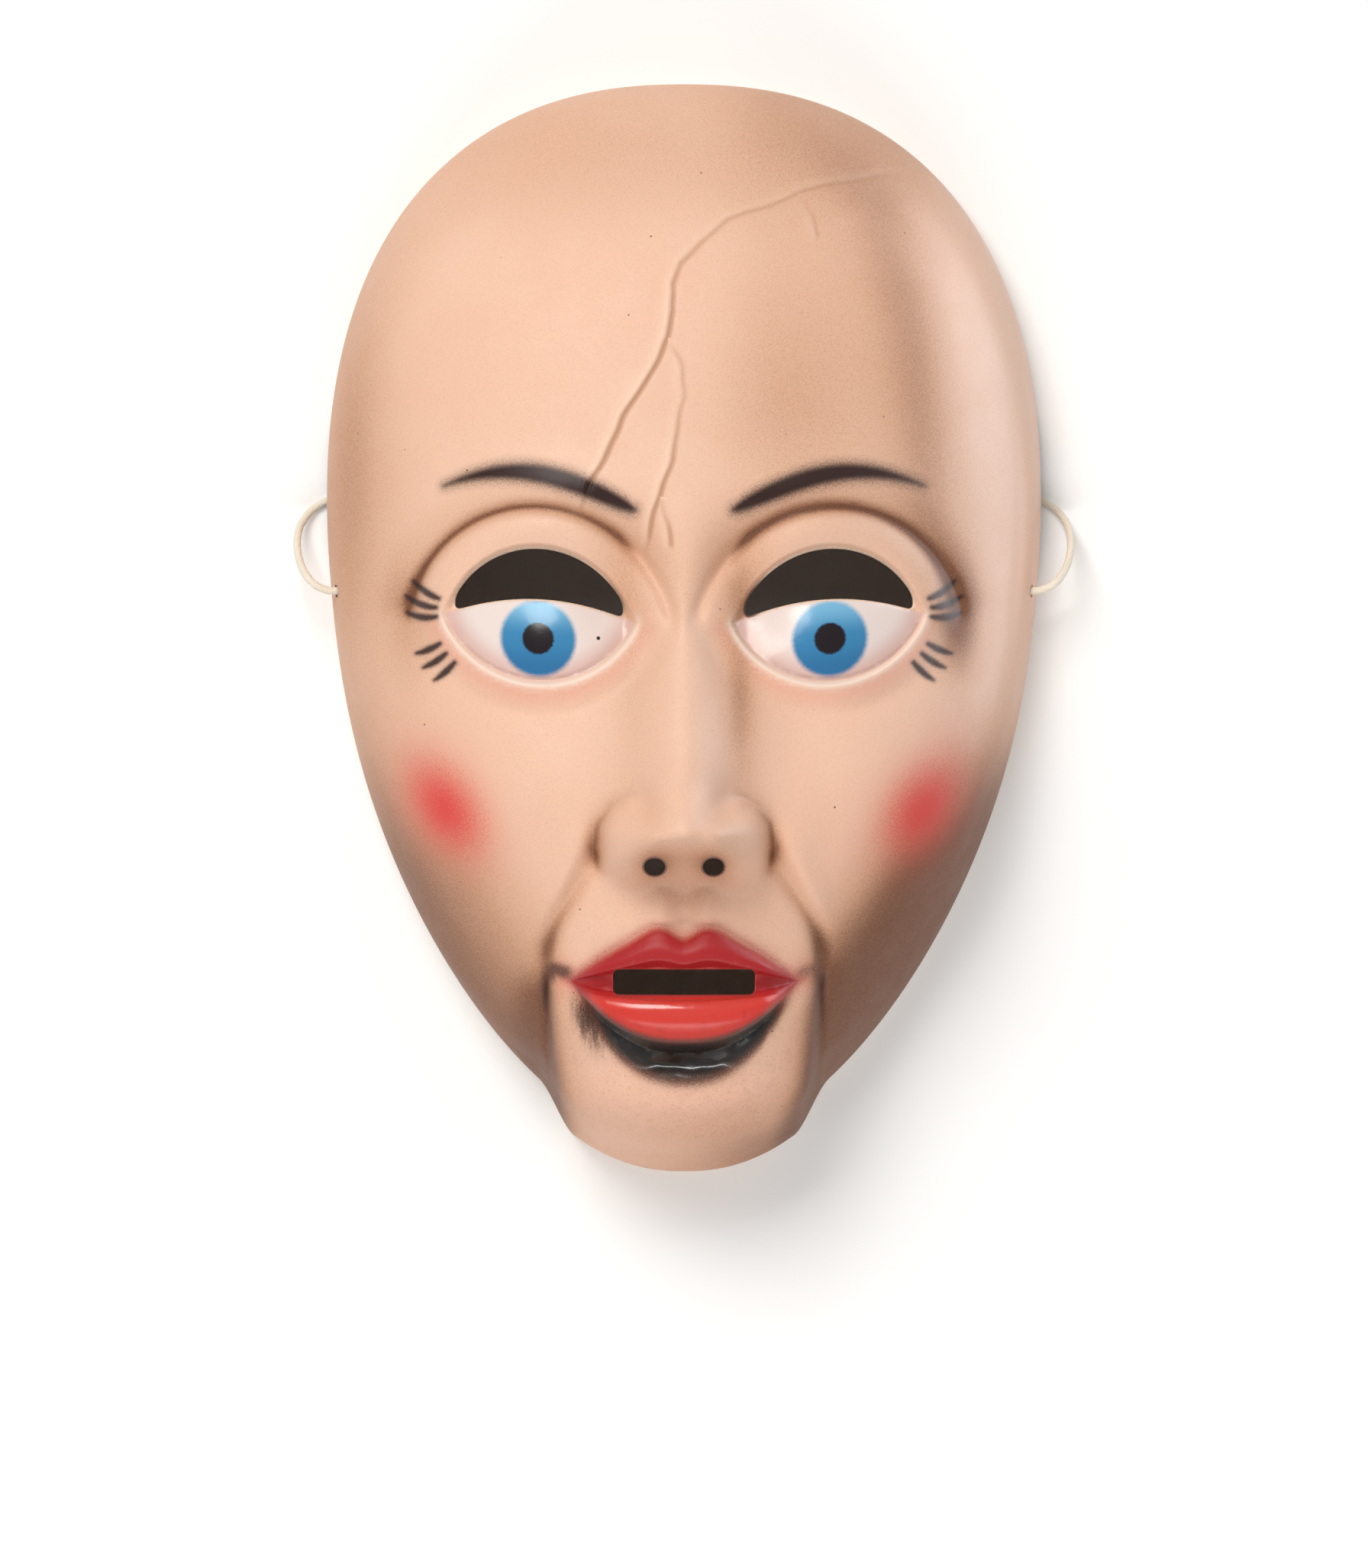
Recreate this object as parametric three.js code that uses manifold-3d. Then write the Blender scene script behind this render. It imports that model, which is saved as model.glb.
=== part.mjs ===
// A full-face doll mask of hard plastic: one thin moulded shell with doll eyes, an open mouth and a
// jaw panel in relief, and a round elastic knotted through a small hole at each side.
//
// Millimetres. The mask lies on its rim, so z = 0 is the plane of the rim and the face looks up +Z.
// +Y points from the chin to the forehead, and X runs across the face. The origin is on the rim
// plane, at the middle of the shell's length and width.

import * as THREE from 'three';
import { mergeVertices } from 'three/addons/utils/BufferGeometryUtils.js';
import Module from 'manifold-3d';

const wasm = await Module();
wasm.setup();

// The egg outline and the dome over it.
const FOREHEAD_REACH = 124;      // centre to the top of the forehead
const CHEEK_REACH = 117;         // centre to where the egg outline ends below
const JAW_DROP = 7;              // how far the jaw panel hangs below the egg outline
const HALF_WIDTH = 79.6;         // before the taper, which brings the widest place to 81.5
const TAPER = 0.17;              // wider forehead, narrower jaw
const CHIN_TAPER = 0.13;
const DOME_HEIGHT = 58;
const OUTLINE_POWER = 2.3;       // 2 is an ellipse, more is squarer
const DOME_POWER_IN = 2.5;
const DOME_POWER_OUT = 2.15;
const RIM_FADE = 0.92;           // outside this share of the outline the relief dies away
const WALL = 1.6;
const INNER_SOFTNESS = 2;        // the inner face bridges relief narrower than twice this
const EDGE = 2;                  // half the width over which a moulded edge rises

// The eyes: an almond with a view opening above a moulded doll eye.
const EYE_X = 32;
const EYE_Y = 1;
const EYE_HALF = 21;
const EYE_TILT = 0.05;
const LID_HIGH = 16;
const LID_LOW = 14;
const PLATE_HIGH = 4;            // the upper edge of the doll eye over the eye's corner line
const LID_EDGE = 0.8;            // the moulded edge left round the view opening

// The nose.
const NOSE_TOP = 12;
const NOSE_TIP = -44;
const NOSE_BASE = -57;
const NOSTRIL_X = 6.4;
const NOSTRIL_Y = -53.6;
const NOSTRIL_HALF = [2.3, 1.95];

// The mouth and the jaw panel.
const MOUTH_Y = -79;
const MOUTH_HALF = 25;
const SLOT_HALF = 15.5;
const SLOT_HIGH = 5.6;
const UPPER_LIP = 11.2;
const LOWER_LIP = 14;
const PANEL_HALF = 29.5;
const PANEL_STEP = 2.8;

// The elastic and its holes.
const HOLE_Y = 8;
const HOLE_DEPTH = 0.9778;       // share of the outline's reach at which the hole sits
const HOLE_RADIUS = 1.5;
const CORD_DIAMETER = 1.8;
const CORD_STEPS = 58;
const CORD_SIDES = 8;
const KNOT_RADIUS = 2.7;
const KNOT_LENGTH = 4.4;
const GAP = 0.3;

// Shallow arches in the rim, at the temples, let the elastic pass under it.
const ARCH_Y = 30;
const ARCH_HALF = 22;
const ARCH_HIGH = 5;

// How finely the two faces of the shell are divided, across and along.
const OUTER_CELLS = [40, 60];
const INNER_CELLS = [26, 38];

const clamp = (value, low, high) => Math.min(high, Math.max(low, value));

function smooth(from, to, value) {
  const k = clamp((value - from) / (to - from), 0, 1);
  return k * k * (3 - 2 * k);
}

const bell = (distance, radius) => Math.exp(-((distance / radius) ** 2));

const bump = (x, y, cx, cy, rx, ry, height) => height * bell(x - cx, rx) * bell(y - cy, ry);

// The same bump on both sides of the face.
const pair = (x, y, cx, cy, rx, ry, height) =>
  bump(x, y, cx, cy, rx, ry, height) + bump(x, y, -cx, cy, rx, ry, height);

const taper = (t) => 1 + TAPER * t - CHIN_TAPER * Math.min(t, 0) ** 2;

const jawWindow = (side) => 1 - smooth(25, 33, side);

// A point of the unit disc, laid on the egg outline: x, y and the share of the outline's reach.
function onEgg(u, v) {
  const r = Math.min(1, Math.hypot(u, v));
  const c = r > 0 ? u / r : 1;
  const s = r > 0 ? v / r : 0;
  const reach = r + r * r - r * r * r;
  const square = (Math.abs(c) ** OUTLINE_POWER + Math.abs(s) ** OUTLINE_POWER) ** (-1 / OUTLINE_POWER);
  const t = reach * square * s;
  const x = HALF_WIDTH * taper(t) * reach * square * c;
  const length = t < 0 ? CHEEK_REACH + JAW_DROP * jawWindow(Math.abs(x)) : FOREHEAD_REACH;
  return { x, y: t * length, reach };
}

const domeAt = (reach) => DOME_HEIGHT * (1 - Math.min(1, reach) ** DOME_POWER_IN) ** (1 / DOME_POWER_OUT);

// Signed distance to the almond outline of the eye, and the place in the eye's own axes.
function eyeGap(side, y) {
  const u = side - EYE_X;
  const v = y - EYE_Y - EYE_TILT * u;
  const up = arcGap(u, v, LID_HIGH);
  const low = arcGap(u, -v, LID_LOW);
  const inside = Math.max(up.past, low.past);
  if (inside <= 0) return { u, v, gap: inside };
  const away = [Math.hypot(Math.abs(u) - EYE_HALF, v)];
  if (up.past > 0 && up.beside) away.push(up.past);
  if (low.past > 0 && low.beside) away.push(low.past);
  return { u, v, gap: Math.min(...away) };
}

// Distance past the arc that joins the eye's corners at the given height.
function arcGap(u, v, height) {
  const radius = (EYE_HALF ** 2 + height ** 2) / (2 * height);
  const centre = height - radius;
  return {
    past: Math.hypot(u, v - centre) - radius,
    beside: Math.abs(u) * -centre <= (v - centre) * EYE_HALF,
  };
}

function foreheadForm(x, y) {
  return bump(x, y, 0, 66, 62, 36, 3)
    + pair(x, y, 27, 27, 19, 9, 3.2)
    + bump(x, y, 0, 20, 12, 14, 2.2)
    + pair(x, y, 70, 22, 16, 30, -3.5);
}

function eyeForm(x, y) {
  const { v, gap } = eyeGap(Math.abs(x), y);
  const socket = pair(x, y, EYE_X - 1, EYE_Y + 1, 27, 21, -8) + pair(x, y, 14, 5, 8, 13, -4.5);
  const ball = pair(x, y, EYE_X, EYE_Y - 3, 18, 14, 7);
  const high = smooth(-3.5, 3.5, v);
  const rise = smooth(0.5 - EDGE, 0.5 + EDGE, gap);
  const upper = 3 * rise * (1 - smooth(2.5, 9.5, gap)) - 1.2 * bell(gap - 8.4, EDGE);
  const lower = 1.5 * rise * (1 - smooth(2, 8, gap)) - 0.4 * bell(gap - 8, EDGE);
  return socket + ball + high * upper + (1 - high) * lower;
}

function noseForm(x, y) {
  const k = clamp((NOSE_TOP - y) / (NOSE_TOP - NOSE_TIP), 0, 1.3);
  const width = 6.8 + 2.2 * smooth(0.2, 1, k);
  const rise = 3.5 + 16.5 * k ** 1.3;
  const ridge = rise * Math.exp(-(Math.abs(x / width) ** 2.2));
  const under = smooth(NOSE_BASE - 1.5, NOSE_TIP - 1.5, y);
  const bridge = ridge * smooth(NOSE_TOP + 18, NOSE_TOP - 8, y) * under;
  const wing = 11.5 * Math.exp(-((((Math.abs(x) - 11.2) / 6.6) ** 2 + ((y + 49) / 7.6) ** 2) ** 1.6));
  return bridge
    + bump(x, y, 0, -44.5, 10.5, 9.5, 4.6)
    + wing
    + pair(x, y, 9, -40.5, 2.6, 5, -1.2)
    + pair(x, y, 11, -26, 9, 22, 4)
    + pair(x, y, 17, -38, 10, 14, 1.5)
    + pair(x, y, 19.4, -49.5, EDGE, 7, -1.2)
    + pair(x, y, NOSTRIL_X, NOSTRIL_Y - 1, 3, 2.2, -1.2);
}

function cheekForm(x, y) {
  const foldX = 19 + 11.5 * smooth(-46, -74, y);
  const fold = -1.7 * bell(Math.abs(x) - foldX, 3.2) * smooth(-42, -52, y) * smooth(-82, -70, y);
  return fold + pair(x, y, 44, -38, 24, 23, 6.5) + pair(x, y, 52, -76, 18, 18, -2.5);
}

function mouthForm(x, y) {
  const side = Math.abs(x);
  const k = clamp(side / MOUTH_HALF, 0, 1.2);
  const top = UPPER_LIP * Math.max(-0.3, 1 - k ** 1.8) + 1.2 * bell(side - 6.5, 4.2) - 2 * bell(side, 3.2);
  const low = LOWER_LIP * Math.max(-0.3, 1 - k ** 2.4);
  const end = 1 - smooth(MOUTH_HALF - 8, MOUTH_HALF + 1.5, side);
  const above = (y - MOUTH_Y) / Math.max(top, 0.5);
  const below = (MOUTH_Y - y) / Math.max(low, 0.5);
  const upperLip = 1.6 * smooth(1 + EDGE / UPPER_LIP, 1 - EDGE / UPPER_LIP, above)
    + 2.4 * smooth(0.26, 0.52, above) * smooth(1.15, 0.6, above);
  const lowerLip = 1.6 * smooth(1 + EDGE / LOWER_LIP, 1 - EDGE / LOWER_LIP, below)
    + 3.4 * Math.sin(Math.PI * clamp((below - 0.22) / 0.9, 0, 1));
  const philtrum = (0.8 * bell(side - 5, 2.4) - 1.2 * bell(side, 2.8))
    * smooth(-69, -65.5, y) * smooth(-56, -60.5, y);
  return bump(x, y, 0, -80, 33, 24, 8.5)
    + (y >= MOUTH_Y ? upperLip : lowerLip) * end
    + philtrum
    + bump(x, y, 0, -98.5, 16, 4.2, -4)
    + pair(x, y, MOUTH_HALF + 1.5, MOUTH_Y - 0.5, 3.4, 3.4, -1.8);
}

function jawForm(x, y) {
  const side = Math.abs(x);
  const edge = PANEL_HALF - 1.5 * smooth(-80, -120, y);
  const panel = (1 - smooth(edge - EDGE, edge + EDGE, side)) * smooth(MOUTH_Y + 1, MOUTH_Y - 9, y);
  const slitLength = smooth(MOUTH_Y + 4, MOUTH_Y - 3, y) * (0.3 + 0.7 * smooth(-104, -94, y));
  return PANEL_STEP * panel
    - 1.2 * bell(side - edge - EDGE, EDGE) * slitLength
    + bump(x, y, 0, -111, 20, 14, 10)
    + pair(x, y, 22, -108, 16, 16, 4.5);
}

const reliefAt = (x, y) =>
  foreheadForm(x, y) + eyeForm(x, y) + noseForm(x, y) + cheekForm(x, y) + mouthForm(x, y) + jawForm(x, y);

// The lowest relief within a small ring, so that the wall keeps its thickness under every groove.
function innerRelief(x, y) {
  const around = 8;
  let lowest = reliefAt(x, y);
  for (let i = 0; i < around; i += 1) {
    const angle = (2 * Math.PI * i) / around;
    const beside = reliefAt(x + INNER_SOFTNESS * Math.cos(angle), y + INNER_SOFTNESS * Math.sin(angle));
    lowest = Math.min(lowest, beside);
  }
  return lowest;
}

// The point of the outer face over a place on the unit disc.
function outerPoint(u, v, relief = reliefAt) {
  const { x, y, reach } = onEgg(u, v);
  const fade = 1 - smooth(RIM_FADE, 1, reach);
  return new THREE.Vector3(x, y, domeAt(reach) + relief(x, y) * fade);
}

// The outward normal there, from two short steps on the disc.
function outerNormal(u, v, relief) {
  const r = Math.hypot(u, v);
  const outward = r > 0 ? [u / r, v / r] : [1, 0];
  const back = r > 0.99 ? -0.008 : 0.008;
  const here = outerPoint(u, v, relief);
  const along = outerPoint(u + back * outward[0], v + back * outward[1], relief).sub(here);
  const across = outerPoint(u - 0.008 * outward[1], v + 0.008 * outward[0], relief).sub(here);
  const normal = along.cross(across).normalize();
  return back < 0 ? normal.negate() : normal;
}

function innerPoint(u, v) {
  const here = outerPoint(u, v, innerRelief);
  return here.addScaledVector(outerNormal(u, v, innerRelief), -WALL);
}

// A square laid on the unit disc, with its lines drawn together where the face has most relief.
function squareToDisc(a, b) {
  const across = a - (0.32 * Math.sin(Math.PI * a)) / Math.PI;
  const along = b - (0.22 * Math.sin(Math.PI * b)) / Math.PI - 0.26 * (1 - b * b);
  return [across * Math.sqrt(1 - along ** 2 / 2), along * Math.sqrt(1 - across ** 2 / 2)];
}

// A box drawn up into the dome: its top face takes the given surface, its bottom face stays flat.
function domedSolid(cells, pointAt, bottom) {
  const box = new THREE.BoxGeometry(2, 2, 1, cells[0], cells[1], 1);
  mirrorDiagonals(box);
  const position = box.getAttribute('position');
  for (let i = 0; i < position.count; i += 1) {
    const [u, v] = squareToDisc(position.getX(i), position.getY(i));
    const point = pointAt(u, v);
    const isTop = position.getZ(i) > 0;
    position.setXYZ(i, point.x, point.y, isTop ? point.z : bottom);
  }
  return toSolid(box);
}

// Turns the diagonal of each cell left of the middle, so that both halves of the face match.
function mirrorDiagonals(box) {
  const position = box.getAttribute('position');
  const index = box.getIndex();
  for (let i = 0; i < index.count; i += 6) {
    const [a, b, d] = [index.getX(i), index.getX(i + 1), index.getX(i + 2)];
    const c = index.getX(i + 4);
    const isLeft = position.getX(a) + position.getX(c) < 0;
    if (isLeft) [a, b, c, a, c, d].forEach((corner, k) => index.setX(i + k, corner));
  }
}

function toSolid(geometry) {
  const bare = geometry.clone();
  bare.deleteAttribute('normal');
  bare.deleteAttribute('uv');
  const merged = mergeVertices(bare, 1e-4);
  return new wasm.Manifold(new wasm.Mesh({
    numProp: 3,
    vertProperties: new Float32Array(merged.getAttribute('position').array),
    triVerts: new Uint32Array(merged.getIndex().array),
  }));
}

function toGeometry(solid) {
  const mesh = solid.getMesh();
  const geometry = new THREE.BufferGeometry();
  geometry.setAttribute('position', new THREE.BufferAttribute(mesh.vertProperties, 3));
  geometry.setIndex(new THREE.BufferAttribute(mesh.triVerts, 1));
  geometry.computeVertexNormals();
  return geometry;
}

// A flat outline pushed straight through the shell along Z.
function throughCutter(points) {
  const tall = new THREE.ExtrudeGeometry(new THREE.Shape(points), { depth: 110, bevelEnabled: false });
  tall.translate(0, 0, 8);
  return toSolid(tall);
}

// The view opening: a crescent between the upper lid and the top of the doll eye.
function eyeOpening(sign) {
  const radius = (EYE_HALF ** 2 + LID_HIGH ** 2) / (2 * LID_HIGH);
  const lid = (u) => Math.sqrt((radius - LID_EDGE) ** 2 - u * u) + LID_HIGH - radius;
  const plate = (u) => PLATE_HIGH * (1 - (u / EYE_HALF) ** 2);
  const steps = 14;
  const half = EYE_HALF - 2.4;
  const points = [];
  for (let i = 0; i <= steps; i += 1) {
    const u = half * Math.cos((Math.PI * i) / steps);
    points.push([u, lid(u)]);
  }
  for (let i = 1; i < steps / 2; i += 1) {
    const u = half * (-1 + (4 * i) / steps);
    points.push([u, plate(u)]);
  }
  return throughCutter(points.map(([u, v]) =>
    new THREE.Vector2(sign * (EYE_X + u), EYE_Y + v + EYE_TILT * u)));
}

function ellipseOpening(cx, cy, rx, ry, sides) {
  const points = [];
  for (let i = 0; i < sides; i += 1) {
    const angle = (2 * Math.PI * i) / sides;
    points.push(new THREE.Vector2(cx + rx * Math.cos(angle), cy + ry * Math.sin(angle)));
  }
  return throughCutter(points);
}

function mouthSlot() {
  const slot = new THREE.Shape();
  const half = SLOT_HALF;
  const corner = 1.2;
  const low = MOUTH_Y - SLOT_HIGH / 2;
  const high = MOUTH_Y + SLOT_HIGH / 2;
  slot.moveTo(-half + corner, low);
  slot.lineTo(half - corner, low);
  slot.absarc(half - corner, low + corner, corner, -Math.PI / 2, 0);
  slot.absarc(half - corner, high - corner, corner, 0, Math.PI / 2);
  slot.absarc(-half + corner, high - corner, corner, Math.PI / 2, Math.PI);
  slot.absarc(-half + corner, low + corner, corner, Math.PI, Math.PI * 1.5);
  return throughCutter(slot.extractPoints(3).shape.slice(0, -1));
}

// Where the elastic's hole goes through the wall, and which way it points there.
function holePlace(sign) {
  const reachAt = (r) => r + r * r - r * r * r;
  let low = 0.5;
  let high = 1;
  for (let i = 0; i < 30; i += 1) {
    const middle = (low + high) / 2;
    if (reachAt(middle) < HOLE_DEPTH) low = middle;
    else high = middle;
  }
  const lift = (HOLE_Y / FOREHEAD_REACH / HOLE_DEPTH) * low;
  const v = lift;
  const u = sign * Math.sqrt(low * low - v * v);
  const normal = outerNormal(u, v, innerRelief);
  const middle = outerPoint(u, v, innerRelief).addScaledVector(normal, -WALL / 2);
  return { middle, normal };
}

function cordHole(sign) {
  const { middle, normal } = holePlace(sign);
  const drill = new THREE.CylinderGeometry(HOLE_RADIUS, HOLE_RADIUS, 10, 16);
  drill.applyQuaternion(new THREE.Quaternion().setFromUnitVectors(new THREE.Vector3(0, 1, 0), normal));
  drill.translate(middle.x, middle.y, middle.z);
  return toSolid(drill);
}

// Everything under the rim plane, with the two temple arches standing up out of it.
function rimTrim() {
  const far = 200;
  const outline = new THREE.Shape();
  outline.moveTo(-far, -30);
  outline.lineTo(-far, 0);
  const steps = 16;
  for (let i = 0; i <= steps; i += 1) {
    const k = -1 + (2 * i) / steps;
    outline.lineTo(ARCH_Y + ARCH_HALF * k, (ARCH_HIGH * (1 + Math.cos(Math.PI * k))) / 2);
  }
  outline.lineTo(far, 0);
  outline.lineTo(far, -30);
  const block = new THREE.ExtrudeGeometry(outline, { depth: 2 * far, bevelEnabled: false });
  block.translate(0, 0, -far);
  const shapeX = new THREE.Vector3(0, 1, 0);
  const shapeY = new THREE.Vector3(0, 0, 1);
  block.applyMatrix4(new THREE.Matrix4().makeBasis(shapeX, shapeY, new THREE.Vector3(1, 0, 0)));
  return toSolid(block);
}

function shellGeometry() {
  const outer = domedSolid(OUTER_CELLS, outerPoint, -3);
  const inner = domedSolid(INNER_CELLS, innerPoint, -12);
  const cutters = [
    inner,
    rimTrim(),
    mouthSlot(),
    eyeOpening(1),
    eyeOpening(-1),
    ellipseOpening(NOSTRIL_X, NOSTRIL_Y, NOSTRIL_HALF[0], NOSTRIL_HALF[1], 12),
    ellipseOpening(-NOSTRIL_X, NOSTRIL_Y, NOSTRIL_HALF[0], NOSTRIL_HALF[1], 12),
    cordHole(1),
    cordHole(-1),
  ];
  return toGeometry(cutters.reduce((solid, cutter) => solid.subtract(cutter), outer));
}

// One side of the elastic's route, from the knot inside, out of the hole, down beside the mask and
// back under the temple arch to the middle of the hollow.
const CORD_FLOOR = CORD_DIAMETER / 2;
const CORD_SIDE = [
  [74.9, 8.3, 13.5],
  [77.8, 8.1, 14.3],
  [80.6, 8.2, 15.1],
  [83.6, 9.6, 15.7],
  [86.0, 12.6, 14.6],
  [87.4, 16.2, 11.6],
  [87.9, 20.0, 7.4],
  [87.2, 23.8, 3.4],
  [84.4, 27.4, CORD_FLOOR + 0.2],
  [79.6, 29.6, CORD_FLOOR],
  [73.0, 29.8, CORD_FLOOR],
  [65.0, 25.0, CORD_FLOOR],
  [57.0, 11.0, CORD_FLOOR],
  [48.0, -8.0, CORD_FLOOR],
  [36.0, -27.0, CORD_FLOOR],
  [19.0, -40.0, CORD_FLOOR],
];
const CORD_MIDDLE = [0.0, -44.5, CORD_FLOOR];

function cordCurve() {
  const right = CORD_SIDE.map(([x, y, z]) => new THREE.Vector3(x, y, z));
  const left = CORD_SIDE.map(([x, y, z]) => new THREE.Vector3(-x, y, z)).reverse();
  return new THREE.CatmullRomCurve3([...right, new THREE.Vector3(...CORD_MIDDLE), ...left]);
}

function cordGeometry(curve) {
  const section = new THREE.Shape();
  for (let i = 0; i < CORD_SIDES; i += 1) {
    const angle = (2 * Math.PI * (i + 0.5)) / CORD_SIDES;
    const at = [(CORD_DIAMETER / 2) * Math.cos(angle), (CORD_DIAMETER / 2) * Math.sin(angle)];
    if (i === 0) section.moveTo(...at);
    else section.lineTo(...at);
  }
  section.closePath();
  return new THREE.ExtrudeGeometry(section, { steps: CORD_STEPS, bevelEnabled: false, extrudePath: curve });
}

// The knot is a small barrel, as the elastic pulled tight round itself leaves it.
function knotGeometry() {
  const half = KNOT_LENGTH / 2;
  const steps = 6;
  const profile = [];
  for (let i = 0; i <= steps; i += 1) {
    const angle = (Math.PI * i) / steps;
    const radius = i === 0 || i === steps ? 0 : KNOT_RADIUS * Math.sin(angle) ** 0.7;
    profile.push(new THREE.Vector2(radius, -half * Math.cos(angle)));
  }
  return new THREE.LatheGeometry(profile, 10);
}

const plastic = (color, roughness) => new THREE.MeshStandardMaterial({ color, roughness, metalness: 0 });

const mask = new THREE.Group();

const shell = new THREE.Mesh(shellGeometry(), plastic(0xe6b999, 0.42));
shell.name = 'mask_shell';
mask.add(shell);

const elastic = plastic(0xe9dccb, 0.85);
const curve = cordCurve();
const cord = new THREE.Mesh(cordGeometry(curve), elastic);
cord.name = 'elastic_cord';
mask.add(cord);

for (const [name, end, sign] of [['elastic_knot_right', 0, 1], ['elastic_knot_left', 1, -1]]) {
  const inward = curve.getTangentAt(end).multiplyScalar(-sign);
  const knot = new THREE.Mesh(knotGeometry(), elastic);
  knot.name = name;
  knot.position.copy(curve.getPointAt(end)).addScaledVector(inward, KNOT_LENGTH / 2 + GAP);
  knot.quaternion.setFromUnitVectors(new THREE.Vector3(0, 1, 0), inward);
  mask.add(knot);
}

export default mask;
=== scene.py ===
"""A full-face doll mask of hard, airbrushed plastic, lying on its rim and seen from above.

The mask looks up +Z, with its forehead towards +Y. The face is worked out in millimetres, by the
same functions of x and y as the solid, with finer relief added, and each mesh is made in metres.
"""
import math

import bmesh
import bpy
import numpy as np
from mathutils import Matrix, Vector


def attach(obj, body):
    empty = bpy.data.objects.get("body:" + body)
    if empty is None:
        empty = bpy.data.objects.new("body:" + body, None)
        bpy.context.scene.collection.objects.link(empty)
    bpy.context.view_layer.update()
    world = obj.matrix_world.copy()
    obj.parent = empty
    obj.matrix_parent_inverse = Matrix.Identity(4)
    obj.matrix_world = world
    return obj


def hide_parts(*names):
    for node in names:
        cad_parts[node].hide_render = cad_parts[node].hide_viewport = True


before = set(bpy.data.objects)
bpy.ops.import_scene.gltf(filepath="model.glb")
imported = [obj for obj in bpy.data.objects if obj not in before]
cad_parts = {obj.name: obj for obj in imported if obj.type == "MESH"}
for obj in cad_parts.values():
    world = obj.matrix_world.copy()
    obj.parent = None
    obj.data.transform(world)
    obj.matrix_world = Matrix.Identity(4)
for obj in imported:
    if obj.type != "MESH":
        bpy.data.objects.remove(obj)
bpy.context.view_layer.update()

MM = 0.001

# The egg outline and the dome over it, in millimetres
FOREHEAD_REACH = 124.0
CHEEK_REACH = 117.0
JAW_DROP = 7.0
HALF_WIDTH = 79.6
TAPER = 0.17
CHIN_TAPER = 0.13
DOME_HEIGHT = 58.0
OUTLINE_POWER = 2.3
DOME_POWER_IN = 2.5
DOME_POWER_OUT = 2.15
RIM_FADE = 0.92
WALL = 1.6
INNER_SOFTNESS = 2.0
BELOW_RIM = 3.0

# The eyes
EYE_X = 32.0
EYE_Y = 1.0
EYE_HALF = 21.0
EYE_TILT = 0.05
LID_HIGH = 16.0
LID_LOW = 14.0
PLATE_HIGH = 4.0
LID_EDGE = 0.8
OPENING_CORNER = 2.4
IRIS_DROP = 4.7
IRIS_RADIUS = 8.3
PUPIL_RADIUS = 3.5
DOT_AT = (-18.8, -3.6)
DOT_RADIUS = 0.42

# The brows, and the root, bend and tip of each short lash stroke beside the outer corner of an eye
BROW_IN = 11.0
BROW_OUT = 53.0
BROW_Y = 24.5
BROW_RISE = 8.5
BROW_THICK = 4.2
LASHES = (
    ((54.2, 5.4), (57.2, 6.4), (60.2, 9.6)),
    ((54.8, 3.4), (58.2, 3.6), (61.8, 6.2)),
    ((54.8, 1.4), (58.2, 0.8), (61.6, 2.6)),
    ((54.0, -4.6), (56.8, -6.2), (59.4, -6.6)),
    ((52.6, -6.8), (55.2, -8.9), (57.8, -9.8)),
    ((50.6, -8.8), (52.8, -11.2), (55.2, -12.6)),
)
LASH_WIDTH = 0.75

# The nose
NOSE_TOP = 12.0
NOSE_TIP = -44.0
NOSE_BASE = -57.0
NOSTRIL_X = 6.4
NOSTRIL_Y = -53.6
NOSTRIL_HALF = (2.3, 1.95)

# The groove round a wing of the nose, from the tip to the base
WING_GROOVE = ((8.6, -38.6), (12, -38.4), (16, -40.4), (19, -44.6), (20, -49.6), (18.8, -54), (16, -57))

# The mouth and the jaw panel
MOUTH_Y = -79.0
MOUTH_HALF = 25.0
SLOT_HALF = 15.5
SLOT_HIGH = 5.6
SLOT_CORNER = 1.2
UPPER_LIP = 11.2
LOWER_LIP = 14.0
PANEL_HALF = 29.5
PANEL_STEP = 2.8
POOL_HALF = 18.5

# Two hairline cracks that are moulded in the forehead, and their twigs
CRACKS = (
    ((52, 101), (44, 100.5), (34, 98), (25, 95.5), (18, 92), (10, 89), (4, 84), (-1, 79), (-2.5, 74),
     (-2, 68), (-3.5, 62), (-8, 53), (-13, 45), (-16, 39), (-20, 31), (-22, 25), (-23.5, 20)),
    ((-3.5, 62), (-0.5, 56), (0.5, 49), (-1.5, 41), (-3, 34), (-5, 27), (-7.5, 20), (-9, 14)),
    ((-5, 27), (-3.4, 21), (-3, 15)),
    ((25, 95.5), (29, 90), (30, 84)),
)
CRACK_DEPTHS = (0.42, 0.38, 0.32, 0.16)

# The holes for the elastic, and the arches that it passes under
HOLE_Y = 8.0
HOLE_DEPTH = 0.9778
HOLE_RADIUS = 1.5
ARCH_Y = 30.0
ARCH_HALF = 22.0
ARCH_HIGH = 5.0

# The elastic: points along its right half, from the knot to the middle, then its knots and braid
CORD_DIAMETER = 1.8
CORD_FLOOR = CORD_DIAMETER / 2
CORD_SIDE = (
    (74.9, 8.3, 13.5),
    (77.8, 8.1, 14.3),
    (80.6, 8.2, 15.1),
    (83.6, 9.6, 15.7),
    (86.0, 12.6, 14.6),
    (87.4, 16.2, 11.6),
    (87.9, 20.0, 7.4),
    (87.2, 23.8, 3.4),
    (84.4, 27.4, CORD_FLOOR + 0.2),
    (79.6, 29.6, CORD_FLOOR),
    (73.0, 29.8, CORD_FLOOR),
    (65.0, 25.0, CORD_FLOOR),
    (57.0, 11.0, CORD_FLOOR),
    (48.0, -8.0, CORD_FLOOR),
    (36.0, -27.0, CORD_FLOOR),
    (19.0, -40.0, CORD_FLOOR),
)
CORD_MIDDLE = (0.0, -44.5, CORD_FLOOR)
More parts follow.
